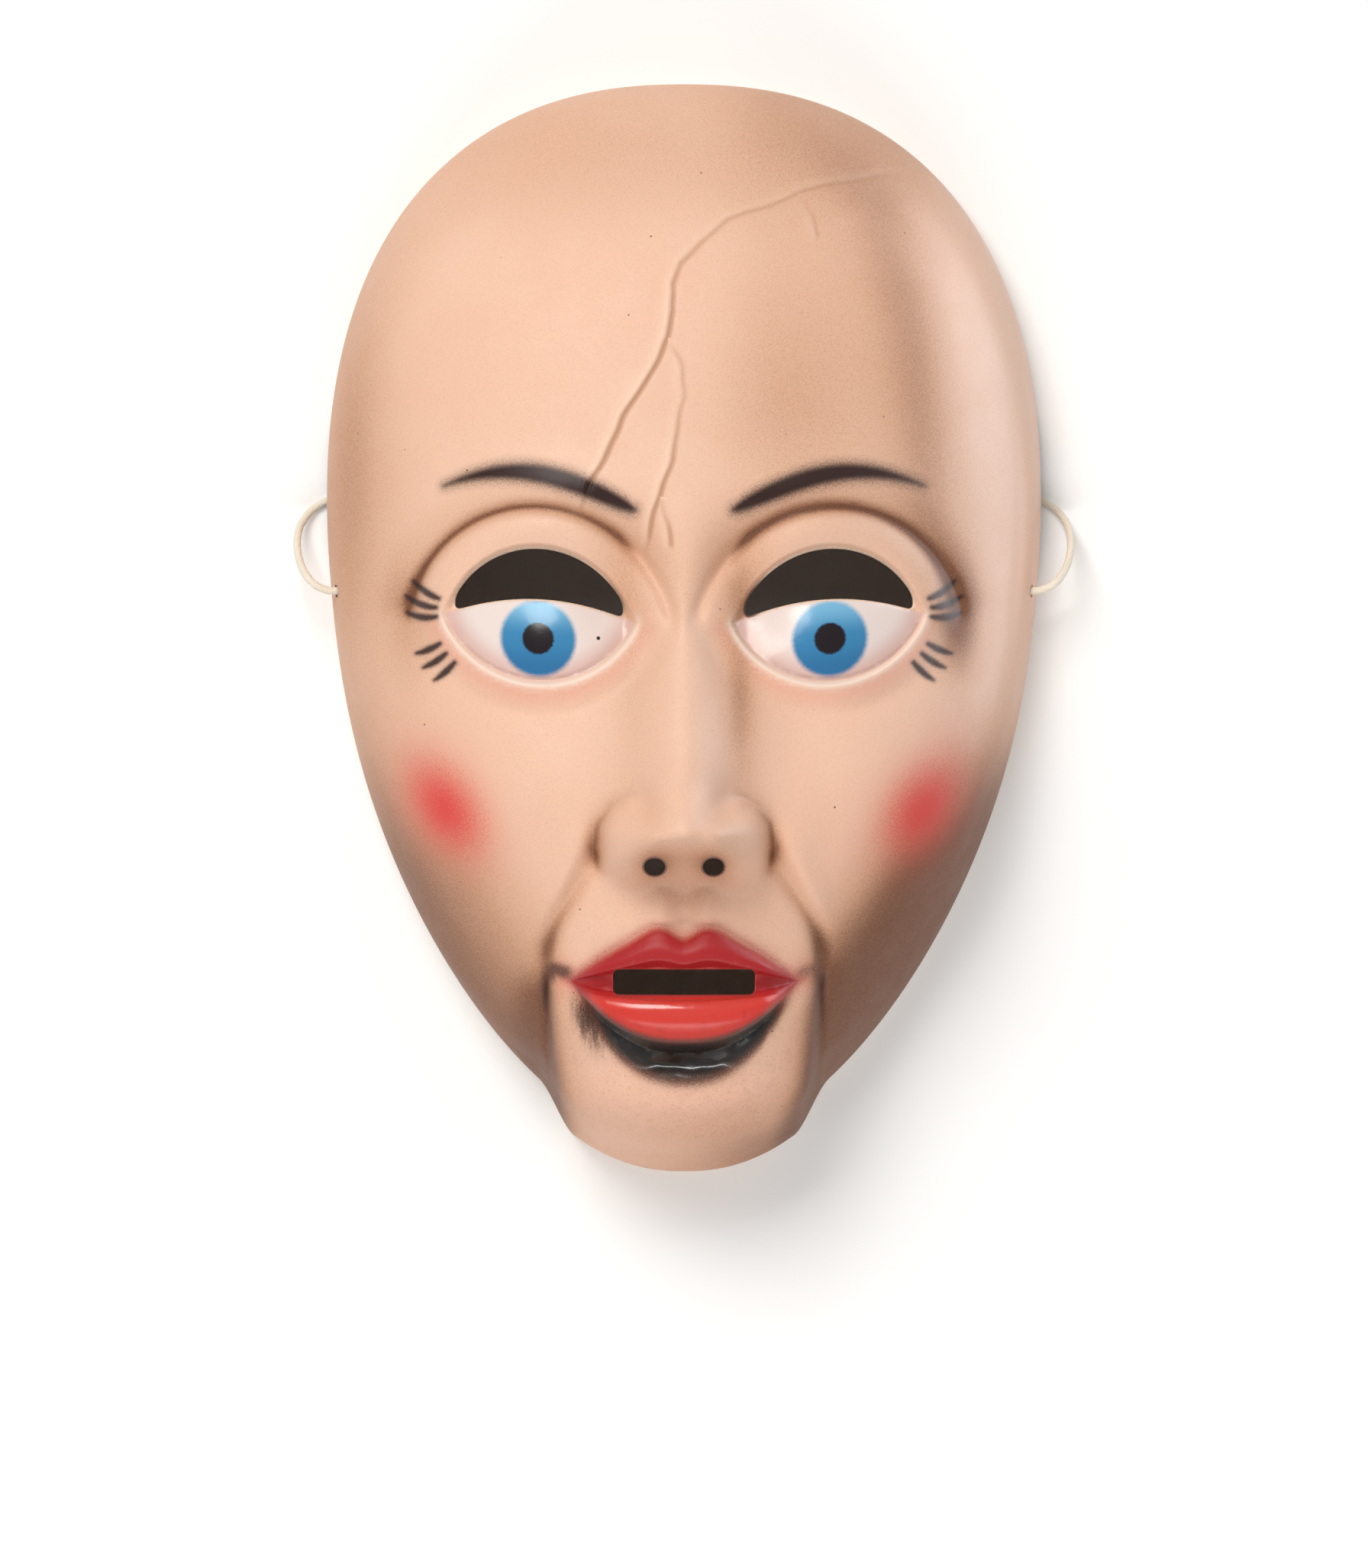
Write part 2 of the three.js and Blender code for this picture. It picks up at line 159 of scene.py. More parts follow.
KNOT_RADIUS = 2.7
KNOT_LENGTH = 4.4
BRAID_PITCH = 2.4
BRAID_STRANDS = 12
BRAID_DEPTH = 0.09

# Cells across and along in the grids that the outside and the inside are drawn up from
FACE_CELLS = (150, 220)
INSIDE_CELLS = (100, 150)

# How far an edge may stand off the face, and how long it may be at a fine line
STAND_OFF = 0.02
FINE_LENGTH = 0.5

# The step over the unit disc that a normal is worked out from
NORMAL_STEP = 0.008

# How far the edges of the openings are rounded, and the corner from which an edge is kept crisp
SLOT_ROUNDING = 0.4
OPENING_ROUNDING = 0.5
CRISP_DEGREES = 38

# The heights that the openings are cut from and to, and the length of the drill for the holes
CUT_FROM = 5.0
CUT_TO = 100.0
DRILL_LENGTH = 10.0

# The camera stands over the mask. The middle of the picture is this far below the mask's own.
VIEW_DROP = 35.6
VIEW_LENGTH = 348.0
VIEW_DISTANCE = 1350.0
MASK_MIDDLE_HIGH = 40.0

# Half the side of the floor, in metres
FLOOR_HALF = 3.0

# The light of the room, and the name, place, target, size, power and colour of each lamp, in metres
ROOM_COLOUR = (1.0, 0.985, 0.96, 1.0)
ROOM_STRENGTH = 0.4
WHITE = (1.0, 1.0, 1.0)
WARM = (1.0, 0.98, 0.95)
COOL = (0.87, 0.91, 1.0)
LAMPS = (
    ("key", (-0.4, 0.76, 1.17), (0, 0, 0.03), (0.7, 0.7), 14.6, WARM),
    ("side", (0.8, 0.55, 0.28), (0.05, 0.05, 0.03), (0.4, 0.4), 0.6, COOL),
    ("temple strip", (0.75, 0.45, 0.08), (0, 0.15, 0.05), (1.0, 0.15), 3.2, COOL),
    ("temple table", (0.48, 0.42, 0.002), (0.48, 0.42, 1.0), (0.72, 0.9), 8.2, COOL),
    ("lip lamp", (0.0, -1.0, 0.75), (0, -0.08, 0.05), (1.2, 0.1), 6.0, WHITE),
)
GLOSS_ONLY = ("temple strip", "temple table")


# Curves and bumps that the whole face is made of


def smooth(low, high, value):
    k = np.clip((value - low) / (high - low), 0.0, 1.0)
    return k * k * (3.0 - 2.0 * k)


def bell(distance, radius):
    return np.exp(-((distance / radius) ** 2))


def bump(x, y, cx, cy, rx, ry, height):
    return height * bell(x - cx, rx) * bell(y - cy, ry)


def pair(x, y, cx, cy, rx, ry, height):
    """The same bump on both sides of the face."""
    return bump(x, y, cx, cy, rx, ry, height) + bump(x, y, -cx, cy, rx, ry, height)


def line_gap(x, y, points):
    """Distance to a broken line, counted below zero on its right, and how far along it, from 0 to 1."""
    points = np.array(points, float)
    near = np.full(x.shape, 1e9)
    side = np.ones(x.shape)
    along = np.zeros(x.shape)
    for k, (start, step) in enumerate(zip(points[:-1], np.diff(points, axis=0))):
        dx, dy = x - start[0], y - start[1]
        share = np.clip((dx * step[0] + dy * step[1]) / step.dot(step), 0, 1)
        gap = np.hypot(dx - share * step[0], dy - share * step[1])
        closer = gap < near
        near = np.where(closer, gap, near)
        side = np.where(closer, np.sign(step[0] * dy - step[1] * dx), side)
        along = np.where(closer, (k + share) / (len(points) - 1), along)
    return near * side, along


# The egg and the dome


def width_at(t):
    return 1.0 + TAPER * t - CHIN_TAPER * np.minimum(t, 0.0) ** 2


def length_at(t, side):
    jaw = JAW_DROP * (1.0 - smooth(25.0, 33.0, side))
    return np.where(t < 0, CHEEK_REACH + jaw, FOREHEAD_REACH)


def on_egg(u, v):
    """Points of the unit disc laid on the egg outline: x, y and the share of the outline's reach."""
    r = np.minimum(1.0, np.hypot(u, v))
    safe = np.maximum(r, 1e-9)
    c = np.where(r > 0, u / safe, 1.0)
    s = np.where(r > 0, v / safe, 0.0)
    reach = r + r ** 2 - r ** 3
    square = (np.abs(c) ** OUTLINE_POWER + np.abs(s) ** OUTLINE_POWER) ** (-1.0 / OUTLINE_POWER)
    t = reach * square * s
    x = HALF_WIDTH * width_at(t) * reach * square * c
    return x, t * length_at(t, np.abs(x)), reach


def reach_at(x, y):
    """The share of the outline's reach at a place, which is 0 in the middle and 1 on the rim."""
    t = y / length_at(y, np.abs(x))
    across = np.abs(x) / (HALF_WIDTH * width_at(t))
    return (across ** OUTLINE_POWER + np.abs(t) ** OUTLINE_POWER) ** (1.0 / OUTLINE_POWER)


def dome_at(reach):
    return DOME_HEIGHT * (1.0 - np.minimum(1.0, reach) ** DOME_POWER_IN) ** (1.0 / DOME_POWER_OUT)


def rim_fade(reach):
    return 1 - smooth(RIM_FADE, 1.0, reach)


def height_at(x, y):
    reach = reach_at(x, y)
    return dome_at(reach) + relief_at(x, y) * rim_fade(reach)


# The relief


def lid_radius(height):
    return (EYE_HALF ** 2 + height ** 2) / (2.0 * height)


def eye_gap(side, y):
    """Place in the eye's own axes, and the signed distance to its almond outline."""
    u = side - EYE_X
    v = y - EYE_Y - EYE_TILT * u
    past = []
    away = [np.hypot(np.abs(u) - EYE_HALF, v)]
    for height, w in ((LID_HIGH, v), (LID_LOW, -v)):
        centre = height - lid_radius(height)
        gap = np.hypot(u, w - centre) - lid_radius(height)
        beside = np.abs(u) * -centre <= (w - centre) * EYE_HALF
        past.append(gap)
        away.append(np.where((gap > 0) & beside, gap, 1e9))
    inside = np.maximum(*past)
    return u, v, np.where(inside <= 0, inside, np.minimum.reduce(away))


def plate_top(u):
    """The upper edge of the doll eye, under the view opening."""
    return PLATE_HIGH * (1 - (u / EYE_HALF) ** 2)


def forehead_form(x, y):
    return (
        bump(x, y, 0, 66, 62, 36, 3.0)
        + pair(x, y, 27, 27, 19, 9, 3.2)
        + bump(x, y, 0, 20, 12, 14, 2.2)
        + pair(x, y, 70, 22, 16, 30, -3.5)
    )


def eye_form(x, y):
    u, v, gap = eye_gap(np.abs(x), y)
    socket = pair(x, y, EYE_X - 1, EYE_Y + 1, 27, 21, -8.0) + pair(x, y, 14, 5, 8, 13, -4.5)
    ball = pair(x, y, EYE_X, EYE_Y - 3, 18, 14, 7.0)
    high = smooth(-3.5, 3.5, v)
    upper = 3.0 * smooth(-1.8, 0.5, gap) * (1 - smooth(2.0, 9.5, gap)) - 1.6 * bell(gap - 8.2, 1.6)
    lower = 1.6 * smooth(-0.3, 1.2, gap) * (1 - smooth(1.0, 7.5, gap)) - 0.5 * bell(gap - 7.5, 2.4)
    lower_rim = 0.4 * bell(gap - 0.9, 0.8)
    below_opening = smooth(plate_top(u) + 3, plate_top(u) - 1, v)
    swell = 1.8 * np.sqrt(np.clip(-gap / 12.0, 0, 1)) * below_opening
    return socket + ball + high * upper + (1 - high) * (lower + lower_rim) + swell


def nose_form(x, y):
    side = np.abs(x)
    k = np.clip((NOSE_TOP - y) / (NOSE_TOP - NOSE_TIP), 0, 1.3)
    width = 6.8 + 2.2 * smooth(0.2, 1, k)
    ridge = (3.5 + 16.5 * k ** 1.3) * np.exp(-((side / width) ** 2.2))
    under = smooth(NOSE_BASE - 1.5, NOSE_TIP - 1.5, y)
    bridge = ridge * smooth(NOSE_TOP + 18, NOSE_TOP - 8, y) * under
    wing = 11.5 * np.exp(-((((side - 11.2) / 6.6) ** 2 + ((y + 49) / 7.6) ** 2) ** 1.6))
    return (
        bridge
        + wing
        + bump(x, y, 0, -44.5, 10.5, 9.5, 4.6)
        + pair(x, y, 9, -40.5, 2.6, 5, -1.2)
        + pair(x, y, 11, -26, 9, 22, 4.0)
        + pair(x, y, 17, -38, 10, 14, 1.5)
        + pair(x, y, 19.2, -49.5, 1.9, 7, -1.5)
        + pair(x, y, NOSTRIL_X, NOSTRIL_Y - 1, 3, 2.2, -1.6)
    )


def fold_x(y):
    """How far from the middle the fold beside the mouth runs."""
    return 19 + 11.5 * smooth(-46, -74, y)


def fold_reach(y):
    return smooth(-42, -52, y) * smooth(-82, -70, y)


def cheek_form(x, y):
    fold = -1.9 * bell(np.abs(x) - fold_x(y), 2.7) * fold_reach(y)
    return fold + pair(x, y, 44, -38, 24, 23, 6.5) + pair(x, y, 52, -76, 18, 18, -2.5)


def lip_edges(side):
    """How far the upper and the lower lip reach from the line of the mouth."""
    k = np.clip(side / MOUTH_HALF, 0, 1.2)
    bow = 1.2 * bell(side - 6.5, 4.2) - 2.0 * bell(side, 3.2)
    return UPPER_LIP * np.maximum(-0.3, 1 - k ** 1.8) + bow, LOWER_LIP * np.maximum(-0.3, 1 - k ** 2.4)


def mouth_form(x, y):
    side = np.abs(x)
    top, low = lip_edges(side)
    end = 1 - smooth(MOUTH_HALF - 8, MOUTH_HALF + 1.5, side)
    above = (y - MOUTH_Y) / np.maximum(top, 0.5)
    below = (MOUTH_Y - y) / np.maximum(low, 0.5)
    upper_lip = 1.6 * smooth(1.08, 0.93, above) + 2.4 * smooth(0.27, 0.45, above) * smooth(1.15, 0.6, above)
    swell = np.sin(np.pi * np.clip((below - 0.22) / 0.9, 0, 1)) ** 0.75
    lower_lip = 1.6 * smooth(1.08, 0.93, below) + 3.4 * swell
    philtrum = 0.8 * bell(side - 5, 2.4) - 1.2 * bell(side, 2.8)
    return (
        bump(x, y, 0, -80, 33, 24, 8.5)
        + np.where(y >= MOUTH_Y, upper_lip, lower_lip) * end
        + philtrum * smooth(-69, -65.5, y) * smooth(-56, -60.5, y)
        + bump(x, y, 0, -98.5, 16, 4.2, -4.0)
        + pair(x, y, MOUTH_HALF + 1.5, MOUTH_Y - 0.5, 3.4, 3.4, -1.8)
    )


def panel_edge(y):
    return PANEL_HALF - 1.5 * smooth(-80, -120, y)


def slit_reach(y):
    """Where the groove beside the jaw panel is cut deep."""
    return smooth(MOUTH_Y + 5, MOUTH_Y - 2, y) * (0.25 + 0.75 * smooth(-108, -96, y))


def jaw_form(x, y):
    side = np.abs(x)
    edge = panel_edge(y)
    panel = (1 - smooth(edge - 1.3, edge + 1.4, side)) * smooth(MOUTH_Y + 1, MOUTH_Y - 9, y)
    return (
        PANEL_STEP * panel
        - 1.7 * bell(side - edge - 1.2, 1.1) * slit_reach(y)
        + bump(x, y, 0, -111, 20, 14, 10.0)
        + pair(x, y, 22, -108, 16, 16, 4.5)
    )


def crack_line(x, y):
    """The nearest crack: the signed distance to its wavering line, and how deep it is there."""
    wave_x = x + 0.35 * np.sin(y / 3.3) + 0.1 * np.sin(y / 1.2 + 1.0)
    wave_y = y + 0.25 * np.sin(x / 2.7)
    near = np.full(x.shape, 1e9)
    depth = np.zeros(x.shape)
    for line, deepest in zip(CRACKS, CRACK_DEPTHS):
        gap, along = line_gap(wave_x, wave_y, line)
        faint = (0.4 + 0.6 * smooth(0.25, 0.7, along)) * smooth(0, 0.1, along) * smooth(1, 0.85, along)
        closer = np.abs(gap) < np.abs(near)
        near = np.where(closer, gap, near)
        depth = np.where(closer, deepest * faint, depth)
    return near, depth


def crack_form(x, y):
    gap, depth = crack_line(x, y)
    return depth * (0.75 * bell(gap + 1.1, 0.9) - 1.1 * bell(gap, 0.5) + 0.25 * bell(gap - 1.3, 1.2))


def pool_middle(side):
    """The line along the middle of the wet black paint, and how far the paint reaches from it."""
    share = np.clip(side / POOL_HALF, 0, 1)
    return MOUTH_Y - lip_edges(side)[1] - 2.4 + 1.4 * share ** 2, 3.4 * np.sqrt(1.002 - share ** 2)


def bead_gap(x, y):
    """Distance to the lower edge of the wet paint, where it has run together."""
    middle, half = pool_middle(np.abs(x))
    return y - middle + 0.75 * half


def bead_form(x, y):
    waves = 0.28 * np.sin(x / 1.9 + 0.6) + 0.12 * np.sin(x / 0.8)
    return waves * bell(bead_gap(x, y), 1.6) * smooth(POOL_HALF - 2, POOL_HALF - 6, np.abs(x))


def shelf_gap(side, y):
    """Distance to the crisp edge along the top of the lower lip."""
    return y - MOUTH_Y + SLOT_HIGH / 2 + 1.3 - 2.2 * np.clip(side / MOUTH_HALF, 0, 1) ** 2


def shelf_form(x, y):
    side = np.abs(x)
    gap = shelf_gap(side, y)
    ends = 1 - smooth(MOUTH_HALF - 9, MOUTH_HALF - 3, side)
    return 0.8 * smooth(0.4, -0.1, gap) * smooth(-4, -0.3, gap) * ends


def nose_detail(x, y):
    """The ball of the tip, the grooves round the wings and the small column between the nostrils."""
    side = np.abs(x)
    groove, along = line_gap(side, y, WING_GROOVE)
    cut_in = smooth(0, 0.25, along) * smooth(1, 0.8, along)
    return (
        bump(x, y, 0, -46.5, 6.5, 5.5, 1.4)
        - bump(x, y, 0, -36.5, 7, 4, 0.8)
        - 0.85 * bell(groove, 1.2) * cut_in
        + 0.4 * bell(groove + 2.6, 1.8) * cut_in
        + bump(x, y, 0, -54, 2.2, 4, 0.7)
    )


def fold_detail(x, y):
    """The soft roll of the cheek that stands over the fold."""
    return 1.0 * bell(np.abs(x) - fold_x(y) - 4.6, 3.4) * fold_reach(y)


def broad_relief(x, y):
    return (
        forehead_form(x, y) + eye_form(x, y) + nose_form(x, y)
        + cheek_form(x, y) + mouth_form(x, y) + jaw_form(x, y)
    )


def relief_at(x, y):
    return (
        broad_relief(x, y) + nose_detail(x, y) + fold_detail(x, y)
        + crack_form(x, y) + bead_form(x, y) + shelf_form(x, y)
    )


def inner_relief(x, y):
    """The lowest relief within a small ring, so that the wall keeps its thickness under a groove."""
    lowest = broad_relief(x, y)
    for step in range(8):
        angle = math.tau * step / 8
        dx = INNER_SOFTNESS * math.cos(angle)
        dy = INNER_SOFTNESS * math.sin(angle)
        lowest = np.minimum(lowest, broad_relief(x + dx, y + dy))
    return lowest


# The faces of the shell, over points of the unit disc


def outer_points(u, v, relief=relief_at):
    x, y, reach = on_egg(u, v)
    return np.stack((x, y, dome_at(reach) + relief(x, y) * rim_fade(reach)), axis=-1)


def outer_normals(u, v, relief):
    """Outward normals, from two short steps on the disc."""
    r = np.hypot(u, v)
    safe = np.maximum(r, 1e-9)
    c = np.where(r > 0, u / safe, 1.0)
    s = np.where(r > 0, v / safe, 0.0)
    step = np.where(r > 0.99, -NORMAL_STEP, NORMAL_STEP)
    here = outer_points(u, v, relief)
    along = outer_points(u + step * c, v + step * s, relief) - here
    across = outer_points(u - NORMAL_STEP * s, v + NORMAL_STEP * c, relief) - here
    normal = np.cross(along, across) * np.sign(step)[:, None]
    return normal / np.linalg.norm(normal, axis=1, keepdims=True)


def inner_points(u, v):
    return outer_points(u, v, inner_relief) - WALL * outer_normals(u, v, inner_relief)


def square_to_disc(square):
    """A square laid on the unit disc, with its lines drawn together where the face has most relief."""
    a, b = square[:, 0], square[:, 1]
    across = a - 0.25 * np.sin(np.pi * a) / np.pi
    along = b - 0.15 * np.sin(np.pi * b) / np.pi - 0.2 * (1 - b * b)
    return across * np.sqrt(1 - along ** 2 / 2), along * np.sqrt(1 - across ** 2 / 2)


# Making meshes


def finish_mesh(name, mesh, materials):
    for face in mesh.faces:
        face.smooth = True
    data = bpy.data.meshes.new(name)
    mesh.to_mesh(data)
    mesh.free()
    for material in materials:
        data.materials.append(material)
    piece = bpy.data.objects.new(name, data)
    bpy.context.scene.collection.objects.link(piece)
    return piece


def fine_gap(x, y):
    """Distance to the nearest line that needs small faces: cracks, lashes and painted edges."""
    side = np.abs(x)
    crack = np.abs(crack_line(x, y)[0])
    lash = np.maximum(0, lash_gap(side, y))
    brow = np.maximum(0, brow_gap(side, y))
    lip = np.abs(lip_gap(side, y)) + 0.4
    bead = np.abs(bead_gap(x, y)) + 50 * (side > POOL_HALF - 3)
    shelf = np.abs(shelf_gap(side, y)) + 50 * (side > MOUTH_HALF - 3)
    return np.minimum.reduce((crack, lash, brow, lip, bead, shelf))


def refine(grid, passes):
    """Halves the edges that stand off the surface, and those near a fine line that are still long."""
    for _ in range(passes):
        edges = list(grid.edges)
        ends = np.array([[tuple(vert.co.xy) for vert in edge.verts] for edge in edges])
        first = outer_points(*square_to_disc(ends[:, 0]))
        last = outer_points(*square_to_disc(ends[:, 1]))
        middle = outer_points(*square_to_disc(ends.mean(axis=1)))
        off = np.linalg.norm(middle - (first + last) / 2, axis=1)
        length = np.linalg.norm(last - first, axis=1)
        fine = (fine_gap(middle[:, 0], middle[:, 1]) < 0.75 * length) & (length > FINE_LENGTH)
        halved = (off > STAND_OFF) | fine
        chosen = [edge for edge, yes in zip(edges, halved) if yes and not edge.is_boundary]
        bmesh.ops.subdivide_edges(grid, edges=chosen, cuts=1, use_grid_fill=True)


def domed_block(name, cells, points_at, bottom, slot, passes=0):
    """A grid drawn up into the dome, with its boundary pulled straight down and closed flat."""
    grid = bmesh.new()
    bmesh.ops.create_grid(grid, x_segments=cells[0], y_segments=cells[1], size=1.0)
    refine(grid, passes)
    square = np.array([tuple(vert.co.xy) for vert in grid.verts])
    for vert, point in zip(grid.verts, points_at(*square_to_disc(square))):
        vert.co = Vector(point * MM)
    rim = [edge for edge in grid.edges if edge.is_boundary]
    skirt = bmesh.ops.extrude_edge_only(grid, edges=rim)["geom"]
    for vert in (item for item in skirt if isinstance(item, bmesh.types.BMVert)):
        vert.co.z = -bottom * MM
    lower = [item for item in skirt if isinstance(item, bmesh.types.BMEdge) and item.is_boundary]
    bmesh.ops.edgeloop_fill(grid, edges=lower)
    bmesh.ops.recalc_face_normals(grid, faces=grid.faces)
    for face in grid.faces:
        face.material_index = slot
    return finish_mesh(name, grid, SHELL_MATERIALS)


def next_ring(mesh, verts, edges):
    """Draws a closed ring of edges out once more, and gives the new ring in the same order."""
    made = bmesh.ops.extrude_edge_only(mesh, edges=edges)["geom"]
    new = {item for item in made if isinstance(item, bmesh.types.BMVert)}
    follow = []
    for vert in verts:
        beside = [edge.other_vert(vert) for edge in vert.link_edges]
        follow.append(next(other for other in beside if other in new))
    edges = [item for item in made if isinstance(item, bmesh.types.BMEdge) and item.is_boundary]
    return follow, edges


def ring_solid(name, rings, materials, slot=0):
    """A closed solid through rings of points, all of the same number."""
    solid = bmesh.new()
    bmesh.ops.create_circle(solid, segments=len(rings[0]), radius=1.0)
    verts, edges = list(solid.verts), list(solid.edges)
    first = edges
    for number, ring in enumerate(rings):
        if number:
            verts, edges = next_ring(solid, verts, edges)
        for vert, point in zip(verts, ring):
            vert.co = Vector(point) * MM
    bmesh.ops.edgeloop_fill(solid, edges=edges)
    bmesh.ops.edgeloop_fill(solid, edges=first)
    bmesh.ops.recalc_face_normals(solid, faces=solid.faces)
    for face in solid.faces:
        face.material_index = slot
    return finish_mesh(name, solid, materials)


def opening_cutter(name, outline, rounding):
    """Cuts an opening through the shell and rounds its outer edge off along the face."""
    after = np.roll(outline, -1, axis=0) - np.roll(outline, 1, axis=0)
    outward = np.stack((after[:, 1], -after[:, 0]), axis=-1)
    outward = outward / np.linalg.norm(outward, axis=1, keepdims=True)

    def ring(offset, drop=0.0, level=None):
        x, y = (outline + offset * outward).T
        z = height_at(x, y) - drop if level is None else np.full(x.shape, level)
        return np.stack((x, y, z), axis=-1)

    rings = [ring(0.0, level=CUT_FROM)]
    for angle in (0, 20, 40, 58, 74):
        turn = math.radians(angle)
        rings.append(ring(rounding * (1 - math.cos(turn)), rounding * (1 - math.sin(turn))))
    rings.append(ring(rounding * 1.15, -0.12 * rounding))
    rings.append(ring(rounding * 1.15, level=CUT_TO))
    return ring_solid(name, rings, SHELL_MATERIALS, EDGE_SLOT)


def rounded(points, softness, step):
    """The closed outline at even steps, with its corners worn round."""
    closed = np.concatenate((points, points[:1]))
    length = np.concatenate(([0], np.cumsum(np.linalg.norm(np.diff(closed, axis=0), axis=1))))
    places = np.linspace(0, length[-1], int(length[-1] / step), endpoint=False)
    even = np.stack([np.interp(places, length, closed[:, axis]) for axis in (0, 1)], axis=-1)
    for _ in range(int((softness / step) ** 2)):
        even = (np.roll(even, 1, axis=0) + 2 * even + np.roll(even, -1, axis=0)) / 4
    return even


def eye_outline(sign):
    """The crescent between the upper lid and the top of the doll eye, with rounded corners."""
    radius = lid_radius(LID_HIGH)
    u = (EYE_HALF - OPENING_CORNER) * np.cos(np.linspace(0, math.pi, 61))
    lid = np.sqrt((radius - LID_EDGE) ** 2 - u * u) + LID_HIGH - radius
    over = np.stack((u, lid), axis=-1)
    under = np.stack((-u, plate_top(u)), axis=-1)
    points = rounded(np.concatenate((over, under)), 1.5, 0.5)
    x = sign * (EYE_X + points[:, 0])
    y = EYE_Y + points[:, 1] + EYE_TILT * points[:, 0]
    return np.stack((x, y), axis=-1)[::sign]


def slot_outline():
    points = []
    for quarter, (right, top) in enumerate(((1, 1), (-1, 1), (-1, -1), (1, -1))):
        for angle in np.radians(np.linspace(0, 90, 7) + 90 * quarter):
            points.append((
                right * (SLOT_HALF - SLOT_CORNER) + SLOT_CORNER * math.cos(angle),
                MOUTH_Y + top * (SLOT_HIGH / 2 - SLOT_CORNER) + SLOT_CORNER * math.sin(angle),
            ))
    return rounded(np.array(points), 0.0, 0.4)


def nostril_outline(sign):
    angle = np.linspace(0, math.tau, 40, endpoint=False)
    x = sign * NOSTRIL_X + NOSTRIL_HALF[0] * np.cos(angle)
    return np.stack((x, NOSTRIL_Y + NOSTRIL_HALF[1] * np.sin(angle)), axis=-1)


def hole_place(sign):
    """Where the elastic's hole goes through the wall, and which way it points there."""
    low, high = 0.5, 1.0
    for _ in range(30):
        middle = (low + high) / 2
        if middle + middle ** 2 - middle ** 3 < HOLE_DEPTH:
            low = middle
        else:
            high = middle
    v = HOLE_Y / FOREHEAD_REACH / HOLE_DEPTH * low
    at = np.array([sign * math.sqrt(low * low - v * v)]), np.array([v])
    normal = outer_normals(*at, inner_relief)[0]
    return outer_points(*at, inner_relief)[0] - WALL / 2 * normal, normal


def hole_cutter(name, sign):
    middle, normal = hole_place(sign)
    turn = Vector(normal).to_track_quat("Z", "Y").to_matrix().to_4x4()
    turn.translation = Vector(middle) * MM
    radius, length = HOLE_RADIUS * MM, DRILL_LENGTH * MM
    drill = bmesh.new()
    bmesh.ops.create_cone(
        drill, cap_ends=True, segments=32, radius1=radius, radius2=radius, depth=length, matrix=turn
    )
    for face in drill.faces:
        face.material_index = EDGE_SLOT
    return finish_mesh(name, drill, SHELL_MATERIALS)


def rim_cutter():
    """Everything under the rim's plane, with the two temple arches standing up out of it."""
    block = bmesh.new()
    bmesh.ops.create_grid(block, x_segments=1, y_segments=240, size=0.2)
    below = bmesh.ops.extrude_face_region(block, geom=list(block.faces))["geom"]
    bottom = {item for item in below if isinstance(item, bmesh.types.BMVert)}
    for vert in block.verts:
        k = np.clip((vert.co.y / MM - ARCH_Y) / ARCH_HALF, -1, 1)
        arch = ARCH_HIGH * (1 + math.cos(math.pi * k)) / 2
        vert.co.z = -20 * MM if vert in bottom else arch * MM
    bmesh.ops.recalc_face_normals(block, faces=block.faces)
    for face in block.faces:
        face.material_index = EDGE_SLOT
    return finish_mesh("rim_cutter", block, SHELL_MATERIALS)


def cut(piece, cutters):
    """Takes the cutters out of a piece for good."""
    for cutter in cutters:
        change = piece.modifiers.new(cutter.name, "BOOLEAN")
        change.operation = "DIFFERENCE"
        change.solver = "MANIFOLD"
        change.object = cutter
    shown = piece.evaluated_get(bpy.context.evaluated_depsgraph_get())
    result = bpy.data.meshes.new_from_object(shown)
    piece.modifiers.clear()
    piece.data = result
    for cutter in cutters:
        bpy.data.objects.remove(cutter)


# The paint: distances and amounts that the finish reads, worked out for each point of the face


def lip_gap(side, y):
    top, low = lip_edges(side)
    return np.maximum(y - MOUTH_Y - top, MOUTH_Y - y - low) * 0.9


def brow_gap(side, y):
    """Signed distance to the outline of a long, gently arched brow that tapers to both ends."""
    share = np.clip((side - BROW_IN) / (BROW_OUT - BROW_IN), 0, 1)
    middle = BROW_Y + BROW_RISE * np.sin(math.pi * 0.76 * share)
    half = BROW_THICK * (share + 0.004) ** 0.42 * (1.002 - share) ** 0.85
    beyond = np.maximum(BROW_IN - side, side - BROW_OUT)
    return np.hypot((y - middle) * 0.94, np.maximum(beyond, 0)) - half


def lash_gap(side, y):
    """Signed distance to the nearest lash stroke, which is thin at both ends."""
    nearest = np.full(side.shape, 1e9)
    t = np.linspace(0, 1, 9)[:, None]
    for root, bend, tip in np.array(LASHES):
        curve = (1 - t) ** 2 * root + 2 * t * (1 - t) * bend + t ** 2 * tip
        gap, along = line_gap(side, y, curve)
        width = LASH_WIDTH * (0.35 + 0.65 * np.sin(math.pi * np.clip(0.15 + 0.8 * along, 0, 1)))
        nearest = np.minimum(nearest, np.abs(gap) - width)
    return nearest


def pool_gap(side, y):
    """Signed distance to the edge of the wet black paint under the lower lip."""
    middle, half = pool_middle(side)
    return np.hypot(y - middle, np.maximum(side - POOL_HALF, 0)) - half


